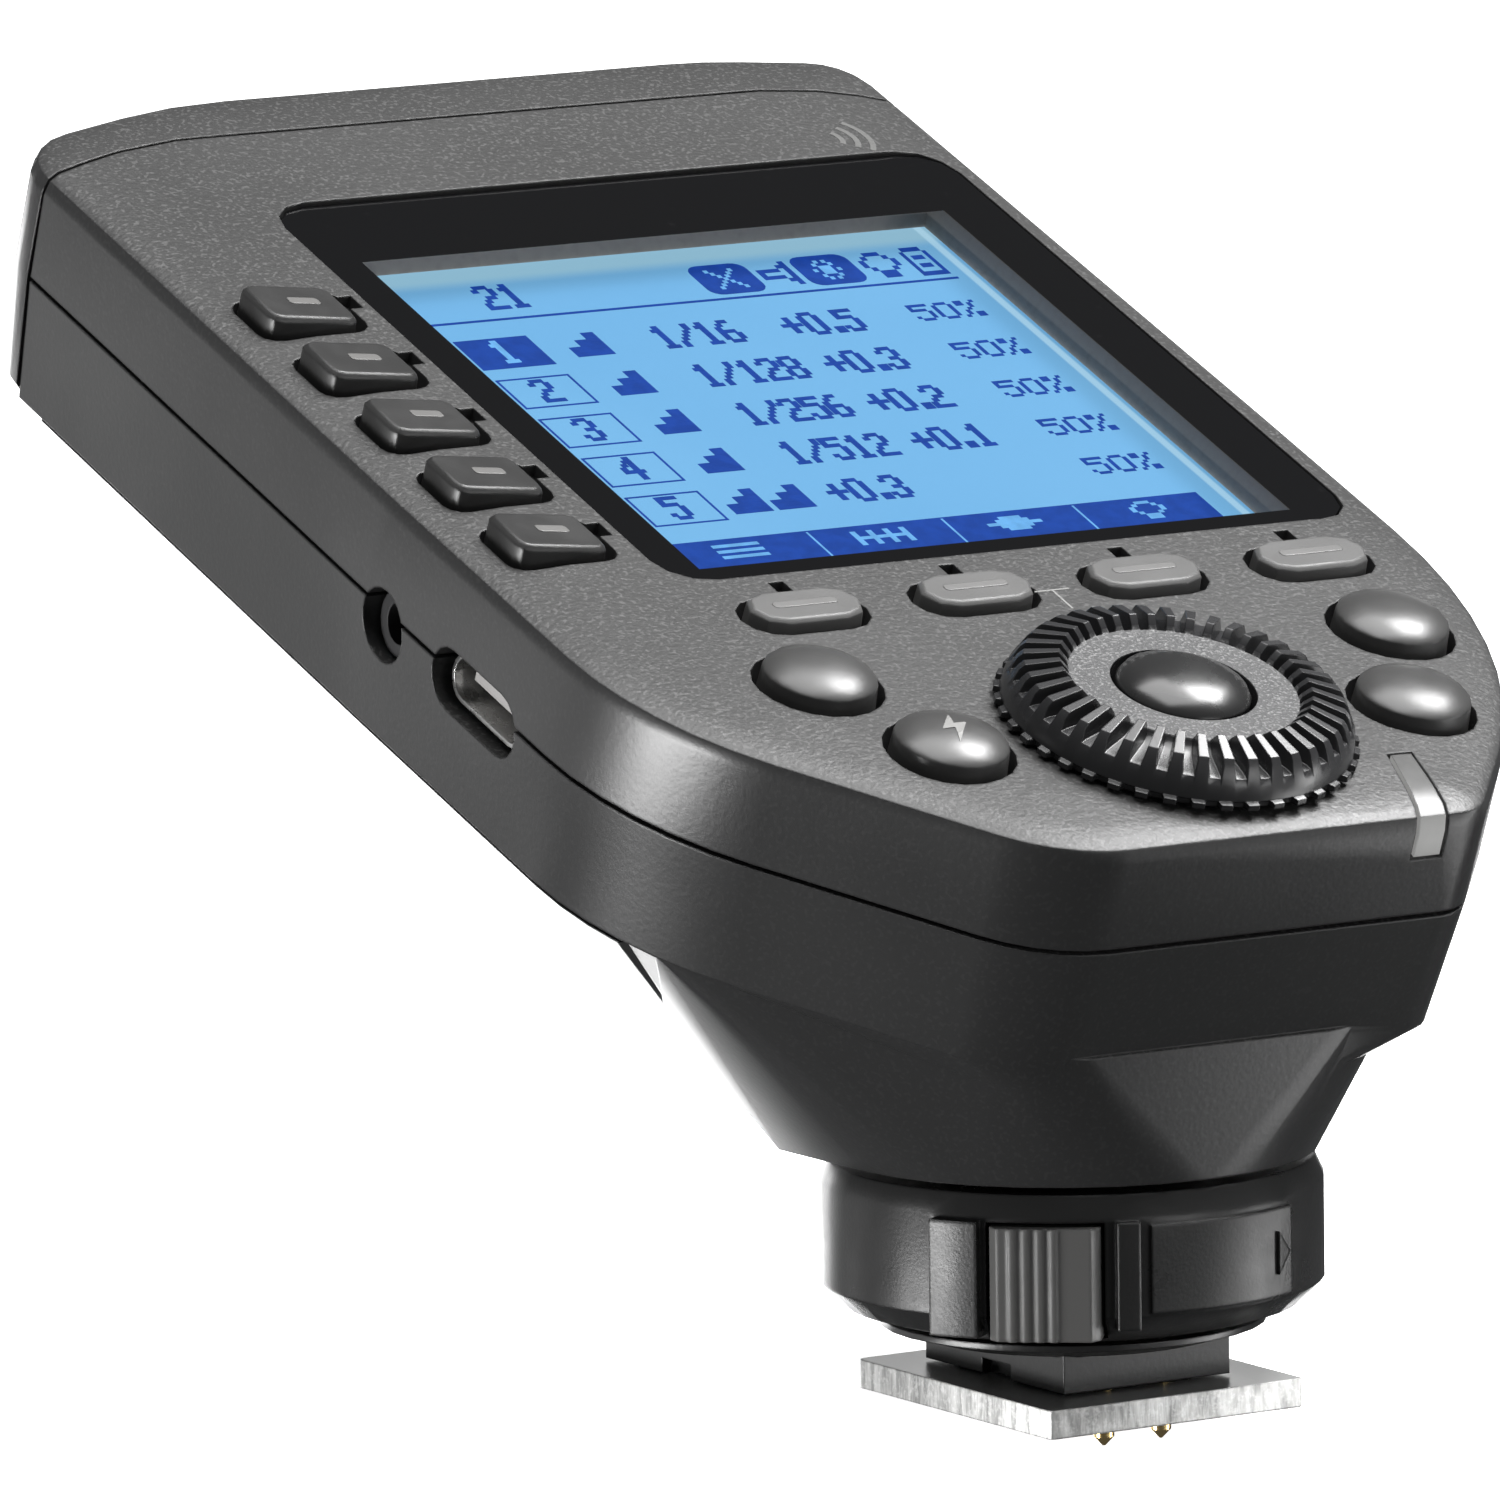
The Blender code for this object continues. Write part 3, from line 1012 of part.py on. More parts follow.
def ring_sector(name, start, end, radii, z):
    """A block of the ring's wall between two angles, measured from the near side towards +X."""
    steps = 4
    rings = []
    for step in range(steps + 1):
        angle = math.radians(start + (end - start) * step / steps)
        out = (math.sin(angle), -math.cos(angle))
        rings.append([
            (out[0] * radius, RING_Y + out[1] * radius, height)
            for radius, height in ((radii[0], z[0]), (radii[1], z[0]), (radii[1], z[1]), (radii[0], z[1]))
        ])
    return loft(name, rings)


def lock_ring():
    centre = (0.0, RING_Y)
    profile = (
        (RING_BORE, RING_BOTTOM), (12.2 * MM, RING_BOTTOM), (14.2 * MM, 6.2 * MM),
        (RING_R, 7.6 * MM), (RING_R, 13.9 * MM), (15.0 * MM, RING_TOP), (RING_BORE, RING_TOP),
    )
    ring = revolve("lock_ring", profile, 48, centre)
    ring = node("lock_ring", ring, "shell_black", None, (0.0, RING_Y, 0.0))
    join(ring, helper("add_strip", ring_sector(
        "add_strip", -66.0, -54.5, (14.0 * MM, 16.2 * MM), (6.4 * MM, 13.6 * MM))))
    join(ring, helper("add_rib", ring_sector(
        "add_rib", -23.4, -18.3, (14.0 * MM, 16.2 * MM), (6.9 * MM, 13.6 * MM))))
    join(ring, helper("add_panel", ring_sector(
        "add_panel", -15.5, 25.0, (14.0 * MM, 15.85 * MM), (7.8 * MM, 13.3 * MM))))
    pocket = release_block("cut_release", (11.6 * MM, 20.0 * MM), RELEASE_HALF + 0.25 * MM,
                           (RELEASE_Z[0] - 0.25 * MM, RELEASE_Z[1] + 0.25 * MM))
    cut(ring, helper("cut_release", pocket))


def release_block(name, radii, half, z):
    """A block that lies along the release button's radial axis."""
    out = Vector((math.sin(RELEASE_ANGLE), -math.cos(RELEASE_ANGLE)))
    side = Vector((-out.y, out.x))
    corners = []
    for along, across in ((radii[0], -half), (radii[1], -half), (radii[1], half), (radii[0], half)):
        point = out * along + side * across
        corners.append((point.x, point.y + RING_Y))
    return plate(name, corners, z)


def release_button():
    """The grey button in the ring, with four upright grip ribs on its left half."""
    out = Vector((math.sin(RELEASE_ANGLE), -math.cos(RELEASE_ANGLE)))
    side = Vector((-out.y, out.x))
    face = [(-RELEASE_HALF, 15.4 * MM), (-2.9 * MM, RELEASE_R[1] - 0.2 * MM)]
    for rib in range(4):
        start = -2.3 * MM + 0.85 * MM * rib
        face += [
            (start, RELEASE_R[1] - 0.2 * MM), (start + 0.2 * MM, RELEASE_R[1]),
            (start + 0.5 * MM, RELEASE_R[1]), (start + 0.65 * MM, RELEASE_R[1] - 0.2 * MM),
        ]
    face += [(2.9 * MM, RELEASE_R[1] - 0.2 * MM), (RELEASE_HALF, 15.4 * MM)]
    section = [(-RELEASE_HALF, RELEASE_R[0])] + face + [(RELEASE_HALF, RELEASE_R[0])]
    outline = []
    for across, along in section:
        point = out * along + side * across
        outline.append((point.x, point.y + RING_Y))
    mesh = plate("release_button", outline, RELEASE_Z)
    origin = (out.x * RELEASE_R[0], RING_Y + out.y * RELEASE_R[0], sum(RELEASE_Z) / 2.0)
    node("release_button", mesh, "release_grey", None, origin)


# ---------------------------------------------------------------- assembly

def main():
    clear_scene()
    body = bpy.data.objects.new("body_frame", None)
    bpy.context.scene.collection.objects.link(body)
    body.location = BODY_ORIGIN
    body.rotation_euler = (TILT, 0.0, 0.0)
    wall_holes = wall_cutters(body)
    top_shell(body, wall_holes)
    bottom_shell(body, wall_holes)
    antenna_cap(body)
    battery_door(body)
    hinge_pin(body)
    light_pipe(body)
    display(body)
    group_keys(body)
    function_keys(body)
    round_buttons(body)
    dial(body)
    boards(body)
    antenna_coil(body)
    sockets(body)
    power_switch(body)
    batteries(body)
    case_screws(body)
    foot_neck()
    shoe_plate()
    foot_pins()
    lock_ring()
    release_button()


main()
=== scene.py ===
"""Looks of the wireless flash trigger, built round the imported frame."""

import math

import bmesh
import bpy
from mathutils import Matrix, Vector


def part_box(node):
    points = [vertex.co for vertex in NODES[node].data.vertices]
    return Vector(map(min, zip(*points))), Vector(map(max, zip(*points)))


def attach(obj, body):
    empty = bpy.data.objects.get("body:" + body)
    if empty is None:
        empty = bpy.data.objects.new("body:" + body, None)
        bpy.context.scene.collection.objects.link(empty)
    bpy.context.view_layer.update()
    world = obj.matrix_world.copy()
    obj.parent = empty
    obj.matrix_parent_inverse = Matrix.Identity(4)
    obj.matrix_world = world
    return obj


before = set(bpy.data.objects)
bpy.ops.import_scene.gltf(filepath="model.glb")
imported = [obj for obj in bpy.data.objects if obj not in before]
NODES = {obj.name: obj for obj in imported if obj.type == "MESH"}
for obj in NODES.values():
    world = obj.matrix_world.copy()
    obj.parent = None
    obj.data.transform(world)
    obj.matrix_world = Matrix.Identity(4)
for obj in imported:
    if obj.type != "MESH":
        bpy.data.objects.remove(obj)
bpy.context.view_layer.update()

MM = 0.001
JOIN_DISTANCE = 0.001 * MM
CREASE_ANGLE, FINE_CREASE_ANGLE = math.radians(34.0), math.radians(19.0)
TILT = math.radians(20.9)
BODY_ORIGIN = Vector((0.0, -11.16, 42.4)) * MM
BODY = Matrix.Translation(BODY_ORIGIN) @ Matrix.Rotation(TILT, 4, "X")
BODY_UP = (0.0, -math.sin(TILT), math.cos(TILT))
PER_METRE_IN_MM = 1000.0

# Places on the body, in millimetres of its tilted frame.
GROUP_KEY_X, GROUP_KEY_Y, GROUP_KEY_PITCH = -26.7, 62.6, 7.85
FUNCTION_KEY_X, FUNCTION_KEY_Y, FUNCTION_KEY_PITCH = -14.9, 19.6, 12.47
GROUP_KEY_TOP, FUNCTION_KEY_TOP = 1.35, 0.75
GROUP_TOP_HALF, GROUP_TOP_SLOPE = 3.0, 0.7 / 6.0
DIAL_X, DIAL_Y = 1.2, 1.6
DISC_EDGE, DISC_FOOT = (7.2, 7.4), (2.7, 2.82)
LCD_TOP = -3.2
# Printing on the top face: its foot just under the surface and its top just over it.
PRINT_Z = (-0.06, 0.02)
ROUND_BUTTONS = {
    "mode_button": (-19.0, 11.0),
    "flash_button": (-15.2, 1.6),
    "menu_button": (22.8, 10.5),
    "zoom_button": (18.5, 1.3),
}
BROAD_NODES = ("top_shell", "bottom_shell", "antenna_cap", "battery_door", "lock_ring", "foot_neck")
FINE_CREASE_NODES = ("bottom_shell",)
# The glass's clear opening. The black border round it is printed on the upper face only.
OPENING_X, OPENING_Y = (-18.1, 25.7), (26.8, 69.3)

# The studio floor, in metres: half its side, and how far it lies under the lowest point.
FLOOR_HALF_SIZE = 40.0
FLOOR_GAP = 0.0001


# ---------------------------------------------------------------- node building

class Nodes:
    """A material's node tree, with short ways to add and link nodes."""

    def __init__(self, name):
        self.material = bpy.data.materials.new(name)
        self.material.use_nodes = True
        self.tree = self.material.node_tree
        self.tree.nodes.clear()
        self.output = self.tree.nodes.new("ShaderNodeOutputMaterial")
        self.coordinates = self.tree.nodes.new("ShaderNodeTexCoord").outputs["Object"]

    def set(self, socket, value):
        if isinstance(value, bpy.types.NodeSocket):
            self.tree.links.new(value, socket)
        elif isinstance(value, (tuple, list)) and len(value) == 3 and socket.type == "RGBA":
            socket.default_value = (*value, 1.0)
        else:
            socket.default_value = value

    def math(self, operation, a, b=0.0):
        node = self.tree.nodes.new("ShaderNodeMath")
        node.operation = operation
        self.set(node.inputs[0], a)
        self.set(node.inputs[1], b)
        return node.outputs[0]

    def ramp(self, value, start, end, low=0.0, high=1.0):
        """value mapped smoothly from start..end to low..high."""
        node = self.tree.nodes.new("ShaderNodeMapRange")
        node.interpolation_type = "SMOOTHSTEP"
        for socket, given in zip(node.inputs, (value, start, end, low, high)):
            self.set(socket, given)
        return node.outputs["Result"]

    def mix(self, factor, a, b):
        node = self.tree.nodes.new("ShaderNodeMix")
        node.data_type = "RGBA"
        self.set(node.inputs["Factor"], factor)
        self.set(node.inputs["A"], a)
        self.set(node.inputs["B"], b)
        return node.outputs["Result"]

    def noise(self, scale, detail=2.0, roughness=0.5, vector=None):
        node = self.tree.nodes.new("ShaderNodeTexNoise")
        self.set(node.inputs["Vector"], vector or self.coordinates)
        self.set(node.inputs["Scale"], scale)
        self.set(node.inputs["Detail"], detail)
        self.set(node.inputs["Roughness"], roughness)
        return node.outputs["Fac"]

    def cells(self, scale):
        node = self.tree.nodes.new("ShaderNodeTexVoronoi")
        self.set(node.inputs["Vector"], self.coordinates)
        self.set(node.inputs["Scale"], scale)
        return node.outputs["Distance"]

    def stretched(self, scale):
        node = self.tree.nodes.new("ShaderNodeMapping")
        self.set(node.inputs["Vector"], self.coordinates)
        node.inputs["Scale"].default_value = scale
        return node.outputs["Vector"]

    def body_millimetres(self):
        """The point in millimetres of the body's tilted frame, as x, y and z outputs."""
        node = self.tree.nodes.new("ShaderNodeMapping")
        self.set(node.inputs["Vector"], self.coordinates)
        node.inputs["Rotation"].default_value = (-TILT, 0.0, 0.0)
        node.inputs["Scale"].default_value = (PER_METRE_IN_MM,) * 3
        back = Matrix.Rotation(-TILT, 3, "X") @ (BODY_ORIGIN * PER_METRE_IN_MM)
        node.inputs["Location"].default_value = -back
        split = self.tree.nodes.new("ShaderNodeSeparateXYZ")
        self.set(split.inputs[0], node.outputs["Vector"])
        return split.outputs

    def facing(self, direction, start, end):
        """1 where the true surface faces that way, 0 where it doesn't."""
        geometry = self.tree.nodes.new("ShaderNodeNewGeometry")
        dot = self.tree.nodes.new("ShaderNodeVectorMath")
        dot.operation = "DOT_PRODUCT"
        self.set(dot.inputs[0], geometry.outputs["Normal"])
        dot.inputs[1].default_value = direction
        return self.ramp(dot.outputs["Value"], start, end)

    def inside(self, value, limits, soft):
        """1 where value lies between the two limits."""
        low = self.ramp(value, limits[0] - soft, limits[0] + soft)
        high = self.ramp(value, limits[1] - soft, limits[1] + soft, 1.0, 0.0)
        return self.math("MULTIPLY", low, high)

    def rounded_edges(self, radius):
        node = self.tree.nodes.new("ShaderNodeBevel")
        node.samples = 6
        node.inputs["Radius"].default_value = radius
        return node.outputs["Normal"]

    def bump(self, height, distance, strength=1.0, normal=None):
        node = self.tree.nodes.new("ShaderNodeBump")
        self.set(node.inputs["Height"], height)
        node.inputs["Distance"].default_value = distance
        self.set(node.inputs["Strength"], strength)
        if normal is not None:
            self.set(node.inputs["Normal"], normal)
        return node.outputs["Normal"]

    def finish(self, **inputs):
        shader = self.tree.nodes.new("ShaderNodeBsdfPrincipled")
        for name, value in inputs.items():
            self.set(shader.inputs[name.replace("_", " ")], value)
        self.tree.links.new(shader.outputs[0], self.output.inputs["Surface"])
        return self.material


# ---------------------------------------------------------------- materials

def shell_plastic(name, colour, lit_top_colour):
    """Moulded charcoal: sparkling grain on the top face, satin and smoother on the walls. The top face
    is also painted a touch lighter than the walls, for the light it catches.
    """
    n = Nodes(name)
    top = n.facing(BODY_UP, 0.8, 0.97)
    fine = n.noise(2500.0, 1.0, 0.6)
    spark = n.ramp(n.noise(3800.0, 0.0), 0.56, 0.74)
    patches = n.noise(45.0, 3.0)
    # Painted light: the upward face gets a slightly lighter colour than the walls, as if lit from above.
    base = n.mix(top, colour, lit_top_colour)
    lighter = tuple(min(1.0, c * 2.4 + 0.01) for c in lit_top_colour)
    flecks = n.math("MULTIPLY", spark, n.ramp(top, 0.0, 1.0, 0.12, 0.75))
    base = n.mix(flecks, base, lighter)
    base = n.mix(n.ramp(patches, 0.35, 0.75, 0.0, 0.22), base, tuple(c * 0.6 for c in colour))
    rough = n.math("ADD", n.ramp(top, 0.0, 1.0, 0.31, 0.45), n.ramp(patches, 0.3, 0.7, -0.03, 0.05))
    edges = n.rounded_edges(0.22 * MM)
    coarse = n.bump(fine, 0.05 * MM, n.ramp(top, 0.0, 1.0, 0.16, 0.8), edges)
    return n.finish(
        Base_Color=base, Roughness=rough, Normal=coarse, Specular_IOR_Level=0.42)


def key_plastic(name, colour, roughness, grain=0.12, gloss=0.5):
    """Smooth satin key plastic with faint handling marks."""
    n = Nodes(name)
    marks = n.noise(220.0, 4.0, 0.6)
    fine = n.noise(4200.0, 1.0)
    base = n.mix(n.ramp(marks, 0.3, 0.75, 0.0, 0.3), colour, tuple(c * 0.7 for c in colour))
    rough = n.ramp(marks, 0.3, 0.7, roughness - 0.04, roughness + 0.07)
    normal = n.bump(fine, 0.03 * MM, grain, n.rounded_edges(0.28 * MM))
    return n.finish(Base_Color=base, Roughness=rough, Normal=normal, Specular_IOR_Level=gloss)


def dial_plastic(name):
    """Dark glossy ribs round a blasted disc."""
    n = Nodes(name)
    x, y, z = n.body_millimetres()
    dx = n.math("SUBTRACT", x, DIAL_X)
    dy = n.math("SUBTRACT", y, DIAL_Y)
    radius = n.math("SQRT", n.math("ADD", n.math("MULTIPLY", dx, dx), n.math("MULTIPLY", dy, dy)))
    disc = n.math("MULTIPLY", n.ramp(radius, *DISC_EDGE, 1.0, 0.0), n.ramp(z, *DISC_FOOT))
    blast = n.noise(4600.0, 1.0, 0.7)
    spark = n.ramp(blast, 0.5, 0.72)
    base = n.mix(disc, (0.022, 0.022, 0.023), n.mix(spark, (0.034, 0.034, 0.035), (0.145, 0.145, 0.145)))
    rough = n.ramp(disc, 0.0, 1.0, 0.27, 0.5)
    normal = n.bump(blast, 0.06 * MM, n.ramp(disc, 0.0, 1.0, 0.05, 0.75), n.rounded_edges(0.12 * MM))
    return n.finish(Base_Color=base, Roughness=rough, Normal=normal, Specular_IOR_Level=0.5)


def matte_dark(name, colour=(0.02, 0.02, 0.021), roughness=0.5):
    n = Nodes(name)
    fine = n.noise(2600.0, 2.0, 0.6)
    base = n.mix(n.ramp(fine, 0.4, 0.8, 0.0, 0.35), colour, tuple(c * 1.7 for c in colour))
    normal = n.bump(fine, 0.04 * MM, 0.25, n.rounded_edges(0.15 * MM))
    return n.finish(Base_Color=base, Roughness=roughness, Normal=normal)


def milled_metal(name, colour=(0.64, 0.64, 0.63), roughness=0.3):
    """Plated plate: faint brushing on top, sheared marks on the upright edges."""
    n = Nodes(name)
    upright = n.math("SUBTRACT", 1.0, n.facing((0.0, 0.0, 1.0), 0.3, 0.7))
    brushed = n.noise(300.0, 4.0, 0.6, n.stretched((9.0, 0.4, 1.0)))
    sheared = n.noise(900.0, 3.0, 0.7, n.stretched((1.0, 1.6, 0.25)))
    pits = n.ramp(n.noise(2400.0, 2.0, 0.7), 0.45, 0.7)
    tone = n.math("MULTIPLY", upright, n.ramp(sheared, 0.35, 0.7))
    base = n.mix(n.math("MULTIPLY", tone, 0.8), colour, tuple(c * 0.3 for c in colour))
    base = n.mix(n.math("MULTIPLY", pits, n.math("MULTIPLY", upright, 0.3)), base, (0.95, 0.95, 0.94))
    rough = n.math("ADD", roughness, n.math("MULTIPLY", upright, 0.22))
    height = n.math("ADD", n.math("MULTIPLY", brushed, 0.25), n.math("MULTIPLY", sheared, upright))
    normal = n.bump(height, 0.12 * MM, 0.45, n.rounded_edges(0.2 * MM))
    return n.finish(Base_Color=base, Metallic=0.8, Roughness=rough, Normal=normal)


def plated(name, colour, roughness=0.22):
    n = Nodes(name)
    marks = n.noise(700.0, 4.0, 0.65)
    base = n.mix(n.ramp(marks, 0.35, 0.8, 0.0, 0.4), colour, tuple(c * 0.6 for c in colour))
    rough = n.ramp(marks, 0.3, 0.7, roughness - 0.05, roughness + 0.12)
    normal = n.bump(marks, 0.02 * MM, 0.2, n.rounded_edges(0.1 * MM))
    return n.finish(Base_Color=base, Metallic=1.0, Roughness=rough, Normal=normal)


def window_glass(name):
    """Clear hard-coated glass with a black printed border."""
    n = Nodes(name)
    x, y, z = n.body_millimetres()
    opening = n.math("MULTIPLY", n.inside(x, OPENING_X, 0.06), n.inside(y, OPENING_Y, 0.06))
    dust = n.ramp(n.noise(900.0, 5.0, 0.7), 0.62, 0.85)
    upper = n.ramp(z, -1.1, -1.0)
    border = n.math("MULTIPLY", upper, n.ramp(opening, 0.0, 1.0, 0.97, 0.03))
    alpha = n.math("ADD", border, 0.03)
    rough = n.ramp(dust, 0.0, 1.0, 0.1, 0.3)
    base = n.mix(dust, (0.0025, 0.0025, 0.0028), (0.006, 0.006, 0.0065))
    made = n.finish(Base_Color=base, Roughness=rough, Alpha=alpha, Specular_IOR_Level=0.3)
    made.blend_method = "BLEND"
    return made


def lcd_glow(name):
    """The lit screen: even blue, a pale far edge, a painted highlight along the right edge and a faint
    dot matrix.
    """
    n = Nodes(name)
    x, y, z = n.body_millimetres()
    pitch = 0.3
    dots_x = n.math("PINGPONG", x, pitch / 2.0)
    dots_y = n.math("PINGPONG", y, pitch / 2.0)
    grid = n.math("MAXIMUM", n.ramp(dots_x, 0.0, 0.03, 1.0, 0.0), n.ramp(dots_y, 0.0, 0.03, 1.0, 0.0))
    glow = n.noise(35.0, 1.0)
    blue = n.mix(n.ramp(glow, 0.3, 0.7), (0.165, 0.43, 0.72), (0.19, 0.465, 0.75))
    blue = n.mix(n.math("MULTIPLY", grid, 0.10), blue, (0.10, 0.30, 0.60))
    far = n.ramp(y, 69.8, 71.3)
    # Painted highlight: a pale strip along the screen's right edge.
    right = n.math("MULTIPLY", n.inside(x, (25.9, 26.5), 0.12), 0.7)
    blue = n.mix(n.math("MULTIPLY", far, 0.55), blue, (0.42, 0.66, 0.72))
    blue = n.mix(right, blue, (0.5, 0.78, 0.95))
    return n.finish(
        Base_Color=(0.02, 0.05, 0.09), Roughness=0.4, Specular_IOR_Level=0.0,
        Emission_Color=blue, Emission_Strength=0.92)


def lcd_ink(name, colour, strength=1.0):
    """Dark liquid-crystal marks, a little uneven as the backlight shows through."""
    n = Nodes(name)
    uneven = n.noise(900.0, 2.0)
    tone = n.mix(n.ramp(uneven, 0.3, 0.7), colour, tuple(c * 1.25 for c in colour))
    return n.finish(
        Base_Color=(0.005, 0.01, 0.03), Roughness=0.45, Specular_IOR_Level=0.0,
        Emission_Color=tone, Emission_Strength=strength)


def bezel_plastic(name):
    n = Nodes(name)
    fine = n.noise(1800.0, 2.0)
    x, y, z = n.body_millimetres()
    deep = n.ramp(z, -3.2, -0.9)
    base = n.mix(deep, (0.42, 0.39, 0.37), (0.2, 0.19, 0.185))
    base = n.mix(n.ramp(fine, 0.4, 0.8, 0.0, 0.25), base, (0.16, 0.15, 0.14))
    step = n.inside(z, (-2.95, -2.35), 0.08)
    # Painted light: a faint glow over the bezel stands in for the screen's light falling on it, weaker
    # on the step.
    return n.finish(
        Base_Color=base, Roughness=0.6, Normal=n.bump(fine, 0.03 * MM, 0.2),
        Emission_Color=(0.9, 0.85, 0.8), Emission_Strength=n.ramp(step, 0.0, 1.0, 0.06, 0.02))


def pipe_resin_painted_glow(name):
    """Milky light guide with a painted glow for the light passing through the resin: its upright end
    glows brighter than its top.
    """
    n = Nodes(name)
    cloud = n.noise(500.0, 3.0)
    top = n.facing(BODY_UP, 0.5, 0.9)
    tone = n.mix(n.ramp(cloud, 0.3, 0.75), (0.06, 0.06, 0.059), (0.045, 0.045, 0.044))
    # Painted light: this glow stands in for studio light shining through the resin; no lamp lights the
    # pipe.
    glow = n.math("MULTIPLY", n.ramp(top, 0.0, 1.0, 0.24, 0.02), n.ramp(cloud, 0.2, 0.8, 0.9, 1.1))
    return n.finish(
        Base_Color=tone, Roughness=0.35, Normal=n.rounded_edges(0.15 * MM),
        Emission_Color=(0.98, 0.98, 0.96), Emission_Strength=glow)


def milky(name, colour, subsurface=0.25, grain=0.1):
    """Translucent resin or silicone."""
    n = Nodes(name)
    cloud = n.noise(260.0, 3.0)
    base = n.mix(n.ramp(cloud, 0.3, 0.75, 0.0, 0.35), colour, tuple(c * 0.72 for c in colour))
    normal = n.bump(n.noise(3000.0, 1.0), 0.03 * MM, grain, n.rounded_edges(0.18 * MM))
    return n.finish(
        Base_Color=base, Roughness=0.36, Normal=normal,
        Subsurface_Weight=subsurface, Subsurface_Scale=0.4 * MM)


def solder_mask(name):
    n = Nodes(name)
    tracks = n.ramp(n.cells(900.0), 0.25, 0.3)
    base = n.mix(tracks, (0.05, 0.25, 0.1), (0.02, 0.13, 0.05))
    return n.finish(Base_Color=base, Roughness=0.35, Normal=n.bump(tracks, 0.03 * MM, 0.4))


def cell_wrap(name):
    """Battery sleeve: dark blue with a plain pale band, and bright ends."""
    n = Nodes(name)
    x, y, z = n.body_millimetres()
    band = n.inside(y, (62.0, 66.0), 0.05)
    end = n.math("SUBTRACT", 1.0, n.inside(y, (25.8, 74.3), 0.05))
    scuffs = n.noise(500.0, 4.0, 0.6)
    base = n.mix(band, (0.02, 0.05, 0.16), (0.6, 0.6, 0.62))
    base = n.mix(end, base, (0.7, 0.7, 0.7))
    rough = n.ramp(scuffs, 0.3, 0.7, 0.25, 0.4)
    return n.finish(Base_Color=base, Roughness=rough, Metallic=end)


def printed_ink(name, colour):
    n = Nodes(name)
    worn = n.noise(2200.0, 3.0, 0.6)
    base = n.mix(n.ramp(worn, 0.45, 0.8, 0.0, 0.35), colour, tuple(c * 0.6 for c in colour))
    return n.finish(Base_Color=base, Roughness=0.5, Normal=n.bump(worn, 0.01 * MM, 0.3))


def smoothing_group(angle):
    """Joins split points and shades edges flatter than the angle smooth."""
    group = bpy.data.node_groups.new(f"smooth_below_{round(math.degrees(angle))}", "GeometryNodeTree")
    group.interface.new_socket("Geometry", in_out="INPUT", socket_type="NodeSocketGeometry")
    group.interface.new_socket("Geometry", in_out="OUTPUT", socket_type="NodeSocketGeometry")
    source = group.nodes.new("NodeGroupInput")
    merge = group.nodes.new("GeometryNodeMergeByDistance")
    merge.inputs["Distance"].default_value = JOIN_DISTANCE
    faces = group.nodes.new("GeometryNodeSetShadeSmooth")
    faces.domain = "FACE"
    bend = group.nodes.new("GeometryNodeInputMeshEdgeAngle")
    steep = group.nodes.new("ShaderNodeMath")
    steep.operation = "GREATER_THAN"
    steep.inputs[1].default_value = angle
    edges = group.nodes.new("GeometryNodeSetShadeSmooth")
    edges.domain = "EDGE"
    edges.inputs["Shade Smooth"].default_value = False
    sink = group.nodes.new("NodeGroupOutput")
    group.links.new(source.outputs[0], merge.inputs["Geometry"])
    group.links.new(merge.outputs["Geometry"], faces.inputs["Geometry"])
    group.links.new(faces.outputs["Geometry"], edges.inputs["Geometry"])
    group.links.new(bend.outputs["Unsigned Angle"], steep.inputs[0])
    group.links.new(steep.outputs[0], edges.inputs["Selection"])
    group.links.new(edges.outputs["Geometry"], sink.inputs[0])
    return group


def smooth_curves(obj, groups):
    own_normals = obj.data.attributes.get("custom_normal")
    if own_normals is not None:
        obj.data.attributes.remove(own_normals)
    modifier = obj.modifiers.new("smooth_curves", "NODES")
    modifier.node_group = groups[obj.name in FINE_CREASE_NODES]
    if obj.name in BROAD_NODES:
        flats = obj.modifiers.new("even_flats", "WEIGHTED_NORMAL")
        flats.keep_sharp = True


